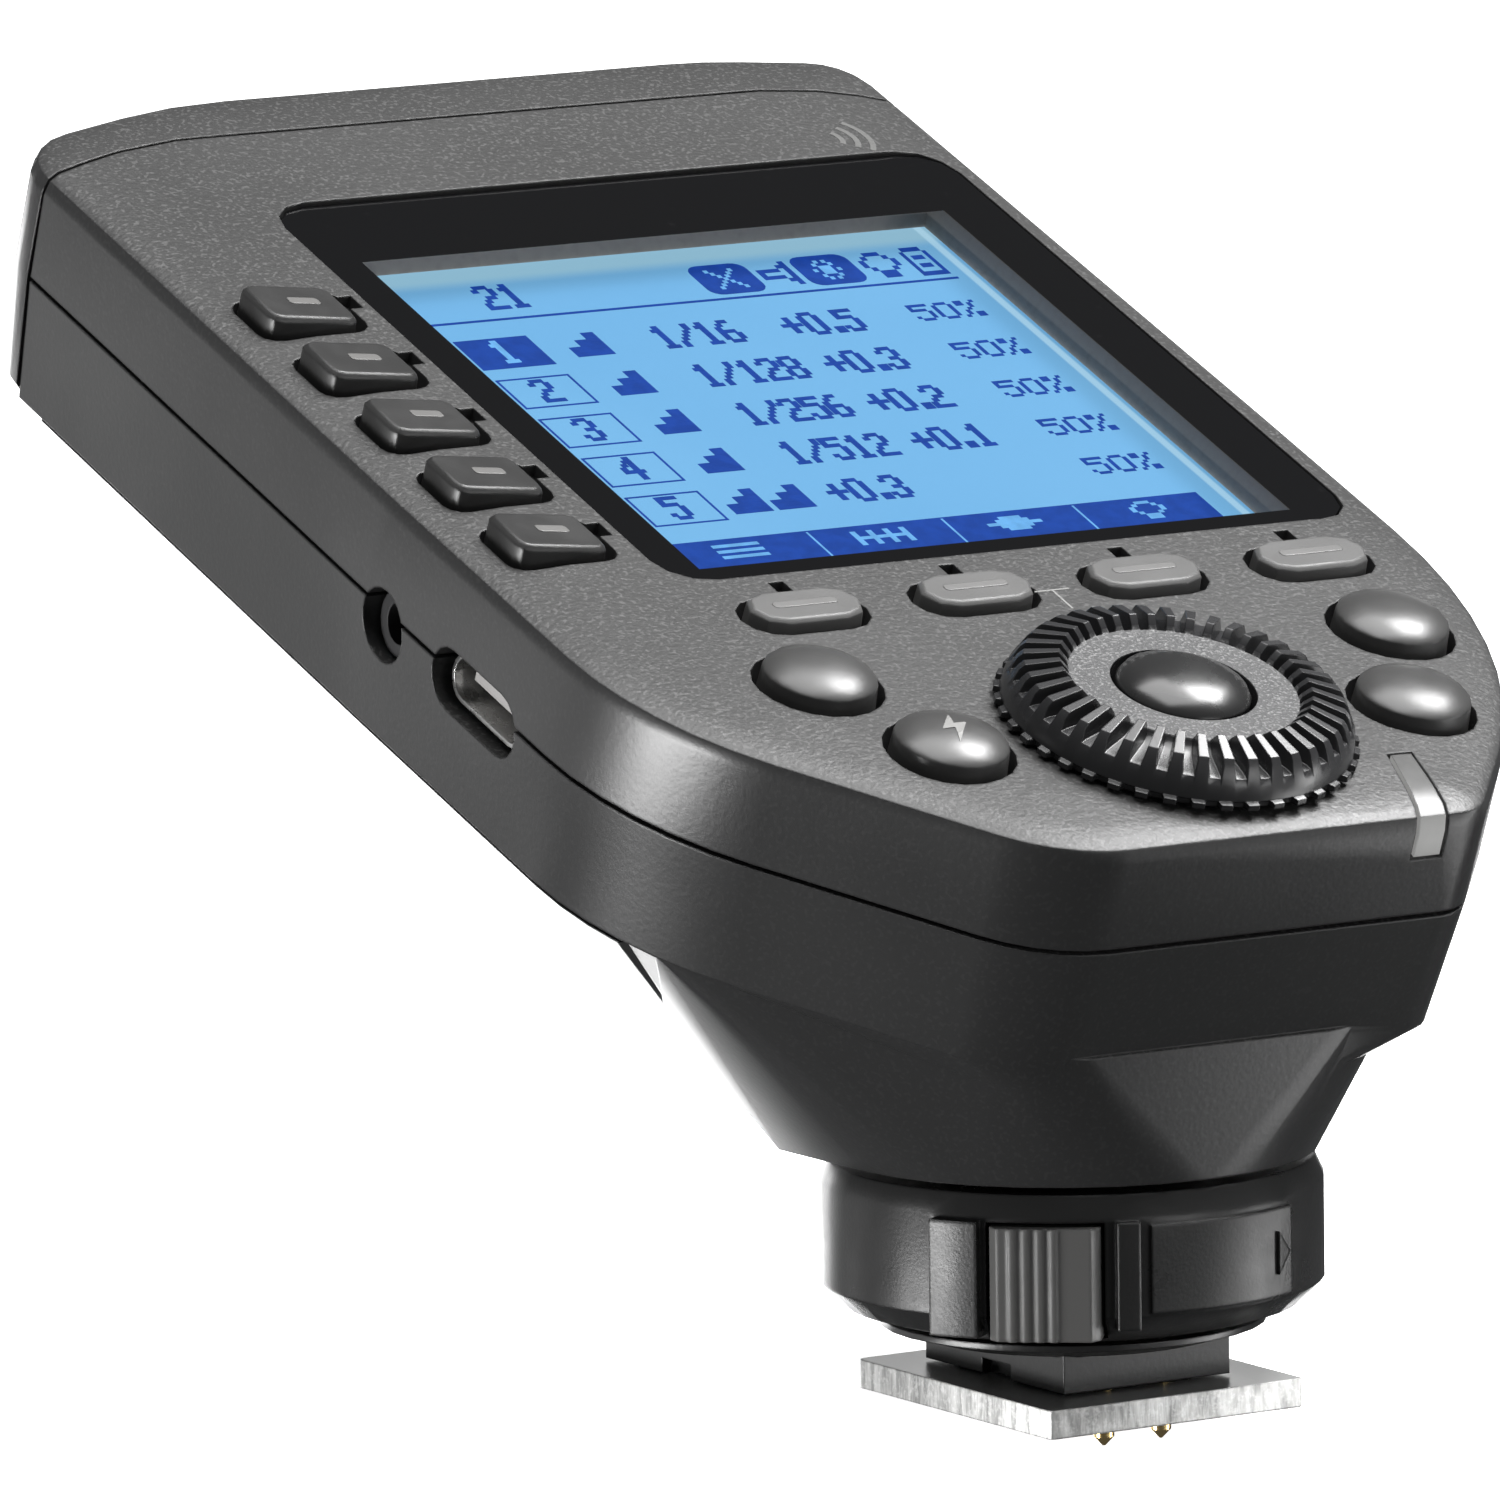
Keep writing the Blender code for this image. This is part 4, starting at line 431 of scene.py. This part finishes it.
def paint_nodes():
    """One procedural material to every CAD node."""
    wall = (0.026, 0.026, 0.0262)
    # The top face's colour, a touch lighter than the walls: painted light from above.
    top = (0.029, 0.0288, 0.0286)
    shell = shell_plastic("charcoal_plastic", wall, top)
    cap = shell_plastic("cap_plastic", wall, top)
    steel = plated("plated_steel", (0.72, 0.72, 0.71))
    gold = plated("gold_plate", (0.83, 0.62, 0.28), 0.18)
    board = solder_mask("board_mask")
    silicone = milky("silicone_sheet", (0.34, 0.35, 0.35), 0.1)
    key_dark = key_plastic("key_dark", (0.022, 0.0219, 0.0217), 0.34)
    key_mid = key_plastic("key_mid", (0.078, 0.0776, 0.0765), 0.42)
    button = key_plastic("round_button_plastic", (0.041, 0.0406, 0.0401), 0.32)
    lever = key_plastic("lever_plastic", (0.03, 0.03, 0.03), 0.4)
    neck = matte_dark("neck_plastic", (0.012, 0.012, 0.012), 0.32)
    dark = matte_dark("dark_plastic")
    looks = {
        "top_shell": shell, "bottom_shell": shell, "antenna_cap": cap, "battery_door": shell,
        "lock_ring": key_plastic("ring_plastic", (0.017, 0.017, 0.017), 0.3, 0.25, 0.3),
        "display_window": window_glass("window_glass"),
        "lcd_frame": bezel_plastic("bezel_grey"), "lcd_panel": lcd_glow("lcd_lit"),
        "backlight": milky("light_guide", (0.7, 0.72, 0.75)),
        "status_light_pipe": pipe_resin_painted_glow("light_pipe"),
        "control_dial": dial_plastic("dial_plastic"),
        "set_button": key_plastic("set_button_plastic", (0.016, 0.016, 0.016), 0.24, 0.03),
        "encoder_body": dark, "buzzer": dark, "pin_insulator": dark, "sync_jack": dark,
        "main_board": board, "control_board": board, "group_key_board": board,
        "key_membrane": silicone, "group_key_membrane": silicone,
        "usb_tongue": milky("tongue_resin", (0.42, 0.41, 0.4), 0.0),
        "radio_module": steel, "usb_port": plated("port_steel", (0.62, 0.62, 0.61), 0.28),
        "antenna_coil": gold, "power_switch": lever,
        "battery_cell_1": cell_wrap("cell_sleeve"), "battery_bridge": steel,
        "terminal_plus": steel, "terminal_minus": steel, "door_hinge_pin": steel,
        "foot_neck": neck, "shoe_plate": milled_metal("shoe_metal"),
        "lock_pin": steel, "plate_screw_1": steel, "plate_screw_2": steel,
        "contact_pin_centre": gold,
        "release_button": key_plastic("release_grey", (0.09, 0.089, 0.087), 0.42, 0.2),
    }
    looks["battery_cell_2"] = looks["battery_cell_1"]
    for i in range(1, 6):
        looks[f"group_button_{i}"] = key_dark
    for i in range(1, 5):
        looks[f"function_button_{i}"] = key_mid
        looks[f"case_screw_{i}"] = steel
        looks[f"contact_pin_{i}"] = gold
    for name in ROUND_BUTTONS:
        looks[name] = button
    smoothing = smoothing_group(CREASE_ANGLE), smoothing_group(FINE_CREASE_ANGLE)
    for name, obj in NODES.items():
        obj.data.materials.clear()
        obj.data.materials.append(looks[name])
        smooth_curves(obj, smoothing)


# ---------------------------------------------------------------- added pieces

def piece(name, bm, material, body, matrix=BODY):
    """A mesh given in millimetres, put in place and riding on a CAD body."""
    bmesh.ops.recalc_face_normals(bm, faces=bm.faces)
    mesh = bpy.data.meshes.new(name)
    bm.to_mesh(mesh)
    bm.free()
    mesh.transform(matrix @ Matrix.Scale(MM, 4))
    mesh.materials.append(material)
    obj = bpy.data.objects.new(name, mesh)
    bpy.context.scene.collection.objects.link(obj)
    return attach(obj, body)


def add_prism(bm, outline, z):
    low = [bm.verts.new((x, y, z[0])) for x, y in outline]
    high = [bm.verts.new((x, y, z[1])) for x, y in outline]
    bm.faces.new(low[::-1])
    bm.faces.new(high)
    for i in range(len(outline)):
        j = (i + 1) % len(outline)
        bm.faces.new((low[i], low[j], high[j], high[i]))


def rounded(centre, size, radius, steps=4):
    """A rounded rectangle's points, anticlockwise."""
    points = []
    for quarter, (sx, sy) in enumerate(((1, 1), (-1, 1), (-1, -1), (1, -1))):
        cx = centre[0] + sx * (size[0] / 2.0 - radius)
        cy = centre[1] + sy * (size[1] / 2.0 - radius)
        for step in range(steps + 1):
            angle = math.pi / 2.0 * (quarter + step / steps)
            points.append((cx + radius * math.cos(angle), cy + radius * math.sin(angle)))
    return points


def key_inlays():
    """The pale light bar let into each side key and each function key."""
    pale = milky("inlay_pale", (0.12, 0.118, 0.115), 0.0)
    bar = milky("inlay_bar", (0.122, 0.121, 0.119), 0.0)
    for i in range(5):
        y = GROUP_KEY_Y - GROUP_KEY_PITCH * i
        bm = bmesh.new()
        add_prism(bm, rounded((GROUP_KEY_X + 0.35, y + 0.15), (2.3, 0.85), 0.25),
                  (GROUP_KEY_TOP - 0.2, GROUP_KEY_TOP + 0.03))
        for vert in bm.verts:
            vert.co.z -= GROUP_TOP_SLOPE * (vert.co.x - GROUP_KEY_X + GROUP_TOP_HALF)
        inlay = piece(f"group_inlay_{i + 1}", bm, pale, f"group_button_{i + 1}_body")
    for i in range(4):
        x = FUNCTION_KEY_X + FUNCTION_KEY_PITCH * i
        bm = bmesh.new()
        add_prism(bm, rounded((x, FUNCTION_KEY_Y + 0.1), (4.6, 0.75), 0.3),
                  (FUNCTION_KEY_TOP - 0.2, FUNCTION_KEY_TOP + 0.03))
        inlay = piece(f"function_inlay_{i + 1}", bm, bar, f"function_button_{i + 1}_body")


# Dot patterns, one string to a row from the top.
DIGITS = {
    "0": "01110 10001 10001 10001 10001 10001 01110",
    "1": "00100 01100 00100 00100 00100 00100 01110",
    "2": "01110 10001 00001 00110 01000 10000 11111",
    "3": "01110 10001 00001 00110 00001 10001 01110",
    "4": "00010 00110 01010 10010 11111 00010 00010",
    "5": "11111 10000 11110 00001 00001 10001 01110",
    "6": "00110 01000 10000 11110 10001 10001 01110",
    "8": "01110 10001 10001 01110 10001 10001 01110",
    "/": "00001 00001 00010 00100 01000 10000 10000",
    "+": "00000 00100 00100 11111 00100 00100 00000",
    ".": "00000 00000 00000 00000 00000 01100 01100",
    "%": "11001 11010 00010 00100 01000 01011 10011",
}
# Columns from one character to the next.
POINT_COLUMNS, DIGIT_COLUMNS = 4, 6
SPEAKER = "000001 000011 111101 100001 111101 000011 000001"
LAMP = "0011100 0100010 1000001 1000001 0100010 0011100 0011100"
BATTERY = "0111110 1000001 1011101 1000001 1011101 1000001 1111111"
RAYS = "0010100 0100010 0011100 1011101 0011100 0100010 0010100"
WAVES = "1000001 0100010 0010100 0001000 0010100 0100010 1000001"
LEVELS = "000011 000011 001111 001111 111111 111111 111111"
ROW_VALUES = (("1/16", "+0.5"), ("1/128", "+0.3"), ("1/256", "+0.2"), ("1/512", "+0.1"), ("+0.3", ""))
ROW_TOP_Y, ROW_PITCH = 59.7, 5.42
# Marks on the screen, and the paler marks laid over them.
MARK_Z = (LCD_TOP + 0.005, LCD_TOP + 0.03)
OVER_Z = (LCD_TOP + 0.031, LCD_TOP + 0.05)


def add_box(bm, x, y, z):
    add_prism(bm, ((x[0], y[0]), (x[1], y[0]), (x[1], y[1]), (x[0], y[1])), z)


def add_dots(bm, pattern, x, y, dot, z):
    """A dot pattern whose lower left corner is x, y: each run of dots in a row is one bar."""
    rows = pattern.split()
    for index, row in enumerate(rows):
        low = y + dot[1] * (len(rows) - 1 - index)
        start = None
        for column, lit in enumerate(row + "0"):
            if lit == "1" and start is None:
                start = column
            elif lit == "0" and start is not None:
                add_box(bm, (x + dot[0] * start, x + dot[0] * column), (low, low + dot[1] * 0.97), z)
                start = None


def add_number(bm, text, x, y, dot, z, bold=0.0):
    for character in text:
        add_dots(bm, DIGITS[character], x, y, dot, z)
        if bold:
            add_dots(bm, DIGITS[character], x + bold, y, dot, (z[0], z[1] + 0.001))
        x += dot[0] * (POINT_COLUMNS if character == "." else DIGIT_COLUMNS)


def add_frame(bm, x, y, line, z):
    add_box(bm, x, (y[0], y[0] + line), z)
    add_box(bm, x, (y[1] - line, y[1]), z)
    add_box(bm, (x[0], x[0] + line), (y[0] + line, y[1] - line), z)
    add_box(bm, (x[1] - line, x[1]), (y[0] + line, y[1] - line), z)


def screen_marks():
    """Plain numbers, boxes and simple symbols in place of the screen's words."""
    ink = lcd_ink("lcd_dark", (0.010, 0.05, 0.31))
    light = lcd_ink("lcd_light", (0.16, 0.45, 0.82), 0.95)
    dark, pale = bmesh.new(), bmesh.new()
    main_dot, thin_dot, icon_dot = (0.27, 0.44), (0.3, 0.32), (0.3, 0.38)
    bold = 0.2
    bar_menu = "1111111111 0000000000 1111111111 0000000000 1111111111"
    bar_scale = "1001001001 1001001001 1111111111 1001001001 1001001001"
    bar_lozenge = "0001111000 0011111100 1111111111 0011111100 0001111000"
    bar_y, bar_dot = 32.6, (0.4, 0.36)

    add_number(dark, "21", -9.4, 66.75, (0.28, 0.47), MARK_Z, bold)
    add_box(dark, (-17.0, 25.1), (65.35, 65.6), MARK_Z)
    for x in (6.9, 14.6):
        add_prism(dark, rounded((x + 2.1, 68.05), (4.3, 4.0), 0.9), MARK_Z)
    add_dots(pale, WAVES, 7.9, 66.7, icon_dot, OVER_Z)
    add_dots(pale, RAYS, 15.6, 66.7, icon_dot, OVER_Z)
    add_dots(dark, SPEAKER, 11.6, 66.5, (0.42, 0.46), MARK_Z)
    add_dots(dark, LAMP, 19.4, 66.3, (0.4, 0.5), MARK_Z)
    add_dots(dark, BATTERY, 22.9, 66.1, (0.29, 0.56), MARK_Z)

    for row, (power, offset) in enumerate(ROW_VALUES):
        y = ROW_TOP_Y - ROW_PITCH * row
        box_x, box_y = (-14.4, -9.0), (y - 0.6, y + 3.4)
        if row == 0:
            add_box(dark, box_x, box_y, MARK_Z)
            add_number(pale, str(row + 1), -12.5, y, main_dot, OVER_Z, bold)
        else:
            add_frame(dark, box_x, box_y, 0.16, MARK_Z)
            add_number(dark, str(row + 1), -12.5, y, main_dot, MARK_Z, bold)
        glyphs = (-7.0,) if row < 4 else (-8.1, -4.9)
        for x in glyphs:
            add_dots(dark, LEVELS, x, y, (0.46, main_dot[1]), MARK_Z)
        add_number(dark, power, -0.5, y, main_dot, MARK_Z, bold)
        add_number(dark, offset, 9.1, y, main_dot, MARK_Z, bold)
        add_number(dark, "50%", 19.1, y + 0.5, thin_dot, MARK_Z)

    add_box(dark, (-17.4, 24.4), (30.6, 35.1), MARK_Z)
    for x in (-4.9, 5.1, 14.9):
        add_box(pale, (x, x + 0.14), (30.7, 34.9), OVER_Z)
    add_dots(pale, bar_menu, -12.2, bar_y, (0.34, 0.36), OVER_Z)
    add_dots(pale, bar_scale, -2.0, bar_y, bar_dot, OVER_Z)
    add_dots(pale, bar_lozenge, 7.8, bar_y, bar_dot, OVER_Z)
    add_dots(pale, LAMP, 18.6, 32.3, (0.36, 0.33), OVER_Z)
    piece("display_marks", dark, ink, "housing")
    piece("display_light_marks", pale, light, "housing")


def dome_height(profile, radius):
    for (r0, z0), (r1, z1) in zip(profile, profile[1:]):
        if r1 <= radius <= r0:
            return z0 + (z1 - z0) * (r0 - radius) / (r0 - r1)
    return profile[-1][1]


def symbol_on_dome(name, outline, centre, material, body):
    """A thin symbol laid over a round button's dome."""
    profile = ((3.6, 0.75), (3.3, 1.05), (2.2, 1.45), (0.9, 1.7), (0.0, 1.71))
    above, below = 0.035, -0.05
    bm = bmesh.new()
    face = bm.faces.new([bm.verts.new((x, y, 0.0)) for x, y in outline])
    bmesh.ops.triangulate(bm, faces=[face])
    bmesh.ops.subdivide_edges(bm, edges=bm.edges, cuts=3, use_grid_fill=True)
    made = bmesh.ops.extrude_face_region(bm, geom=bm.faces[:])
    raised = {v for v in made["geom"] if isinstance(v, bmesh.types.BMVert)}
    for vert in bm.verts:
        height = dome_height(profile, math.hypot(vert.co.x, vert.co.y))
        height += above if vert in raised else below
        vert.co = (centre[0] + vert.co.x, centre[1] + vert.co.y, height)
    return piece(name, bm, material, body)


def ring_arrow():
    """The raised arrow on the lock ring's panel, which shows the way it turns."""
    bm = bmesh.new()
    radius = (15.7, 16.02)
    ring_y, steps = 0.6, 4
    corners = ((19.2, 9.2), (23.4, 10.55), (19.2, 11.9))
    rows = []
    for r in radius:
        row = []
        for (a0, z0), (a1, z1) in zip(corners, corners[1:] + corners[:1]):
            for step in range(steps):
                angle = math.radians(a0 + (a1 - a0) * step / steps)
                height = z0 + (z1 - z0) * step / steps
                place = (r * math.sin(angle), ring_y - r * math.cos(angle), height)
                row.append(bm.verts.new(place))
        rows.append(row)
    bm.faces.new(rows[0][::-1])
    bm.faces.new(rows[1])
    for i in range(len(rows[0])):
        j = (i + 1) % len(rows[0])
        bm.faces.new((rows[0][i], rows[0][j], rows[1][j], rows[1][i]))
    arrow = piece("ring_arrow", bm, NODES["lock_ring"].data.materials[0], "lock_ring_body",
                  Matrix.Identity(4))


def printed_marks():
    """A thin printed bracket between two function keys, and arcs for the radio."""
    grey = printed_ink("print_grey", (0.17, 0.17, 0.165))
    bm = bmesh.new()
    add_box(bm, (1.9, 4.4), (19.3, 19.45), PRINT_Z)
    add_box(bm, (3.1, 3.25), (16.9, 19.3), PRINT_Z)
    piece("print_bracket", bm, grey, "housing")

    faint = printed_ink("print_faint", (0.085, 0.085, 0.083))
    bm = bmesh.new()
    centre = (22.6, 79.6)
    steps, half_line = 12, 0.2
    for radius in (1.3, 2.3, 3.3):
        inner, outer = [], []
        for step in range(steps + 1):
            angle = math.radians(-38.0 + 76.0 * step / steps)
            for points, r in ((inner, radius - half_line), (outer, radius + half_line)):
                points.append((centre[0] + r * math.cos(angle), centre[1] + r * math.sin(angle)))
        for i in range(steps):
            add_prism(bm, (inner[i], outer[i], outer[i + 1], inner[i + 1]), PRINT_Z)
    bmesh.ops.remove_doubles(bm, verts=bm.verts, dist=0.001)
    # Where two stretches of an arc meet, the shared upright face is inside the print.
    inside = []
    for face in bm.faces:
        shared = [edge for edge in face.edges if len(edge.link_faces) > 2]
        if abs(face.normal.z) < 0.5 and len(shared) == 4:
            inside.append(face)
    bmesh.ops.delete(bm, geom=inside, context="FACES_ONLY")
    piece("print_arcs", bm, faint, "housing")


def seam_gasket():
    """A dark gasket sunk in the antenna cap's seam, which keeps light from shining through."""
    rubber = matte_dark("gasket_rubber", (0.008, 0.008, 0.008), 0.6)
    # Across the right half: x, y on the seam's middle line, then the gasket's top and foot.
    half = (
        (0.0, 87.0, -0.9, -2.4), (22.0, 87.0, -0.9, -2.4), (26.4, 86.2, -0.9, -2.4),
        (30.1, 85.1, -1.3, -2.5), (30.7, 84.96, -1.7, -13.5), (31.8, 84.69, -3.0, -13.5))
    half_width = 0.16
    path = [(-x, y, top, foot) for x, y, top, foot in half[:0:-1]] + list(half)
    bm = bmesh.new()
    rings = []
    for x, y, top, foot in path:
        near, far = y - half_width, y + half_width
        corners = ((near, top), (far, top), (far, foot), (near, foot))
        rings.append([bm.verts.new((x, across, z)) for across, z in corners])
    for ring, following in zip(rings, rings[1:]):
        for i in range(4):
            j = (i + 1) % 4
            bm.faces.new((ring[i], ring[j], following[j], following[i]))
    bm.faces.new(rings[0][::-1])
    bm.faces.new(rings[-1])
    piece("seam_gasket", bm, rubber, "housing")


def button_symbols():
    grey = printed_ink("symbol_grey", (0.17, 0.168, 0.163))
    bolt = ((0.5, 1.6), (-1.0, -0.2), (-0.1, -0.2), (-0.6, -1.7), (1.0, 0.3), (0.1, 0.3))
    centre = ROUND_BUTTONS["flash_button"]
    mark = symbol_on_dome("flash_symbol", bolt, centre, grey, "flash_button_body")


# ---------------------------------------------------------------- studio

def area_light(name, place, target, size, power, spread=180.0):
    data = bpy.data.lights.new(name, "AREA")
    data.shape = "RECTANGLE"
    data.size, data.size_y = size
    data.energy = power
    data.spread = math.radians(spread)
    light = bpy.data.objects.new(name, data)
    bpy.context.scene.collection.objects.link(light)
    light.location = place
    light.rotation_euler = (Vector(target) - Vector(place)).to_track_quat("-Z", "Y").to_euler()


def studio():
    scene = bpy.context.scene
    scene.view_settings.view_transform = "Standard"
    world = bpy.data.worlds.new("studio")
    scene.world = world
    world.use_nodes = True
    background = world.node_tree.nodes["Background"]
    background.inputs["Color"].default_value = (0.96, 0.98, 1.0, 1.0)
    background.inputs["Strength"].default_value = 0.1

    bm = bmesh.new()
    lowest = min(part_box(name)[0].z for name in NODES)
    bmesh.ops.create_grid(bm, x_segments=8, y_segments=8, size=FLOOR_HALF_SIZE)
    mesh = bpy.data.meshes.new("floor")
    bm.to_mesh(mesh)
    bm.free()
    n = Nodes("floor_white")
    tone = n.noise(3.0, 2.0)
    mesh.materials.append(n.finish(
        Base_Color=n.mix(tone, (0.93, 0.93, 0.93), (0.95, 0.95, 0.95)), Roughness=0.9,
        Specular_IOR_Level=0.1, Emission_Color=(1.0, 1.0, 1.0), Emission_Strength=1.0))
    floor = bpy.data.objects.new("floor", mesh)
    scene.collection.objects.link(floor)
    floor.location.z = lowest - FLOOR_GAP
    floor.visible_glossy = False
    floor.visible_diffuse = False
    floor.visible_shadow = False

    middle = (0.0, 0.03, 0.05)
    area_light("overhead", (-0.1, -0.2, 2.6), (-0.1, 0.0, 0.0), (2.0, 2.4), 105.0)
    area_light("near_top", (0.25, -0.06, 0.46), (0.0, -0.03, 0.045), (0.26, 0.2), 1.1, 80.0)
    area_light("left_low", (-0.95, 0.18, -0.24), middle, (0.5, 0.2), 11.0)
    area_light("far_left_low", (-0.56, 0.9, -0.12), middle, (0.5, 0.24), 0.42)
    area_light("right_low", (0.87, -0.45, -0.1), middle, (0.26, 0.22), 1.6)
    area_light("front_fill", (0.3, -1.0, 0.1), middle, (0.5, 0.3), 2.0)
    area_light("right_card", (0.085, -0.078, -0.012), (0.016, -0.02, 0.035), (0.05, 0.04), 0.03)
    area_light("plate_card", (0.54, -0.84, -0.16), (0.0, 0.0, 0.0), (0.3, 0.2), 0.13)
    area_light("back_card", (0.56, 0.86, 0.16), (0.0, 0.0, 0.0), (0.4, 0.2), 0.25)
    area_light("back_low", (0.35, 0.95, -0.2), middle, (0.8, 0.4), 5.0)

def camera():
    """The camera stands far off with a long lens, at the angle of the reference view."""
    right = (0.84105265, -0.54080772, -0.01254750)
    up = (0.09476895, 0.12446691, 0.98768762)
    back = (-0.53258734, -0.83188641, 0.15593500)
    place = (-0.59646227, -0.91165725, 0.20463679)
    data = bpy.data.cameras.new("camera")
    data.sensor_width = 36.0
    data.lens = 430.054
    data.shift_x = -0.0989896
    data.shift_y = 0.0848662
    data.clip_start, data.clip_end = 0.05, 120.0
    cam = bpy.data.objects.new("camera", data)
    bpy.context.scene.collection.objects.link(cam)
    turned = Matrix((right, up, back)).transposed().to_4x4()
    turned.translation = place
    cam.matrix_world = turned
    bpy.context.scene.camera = cam


paint_nodes()
key_inlays()
screen_marks()
ring_arrow()
printed_marks()
seam_gasket()
button_symbols()
studio()
camera()
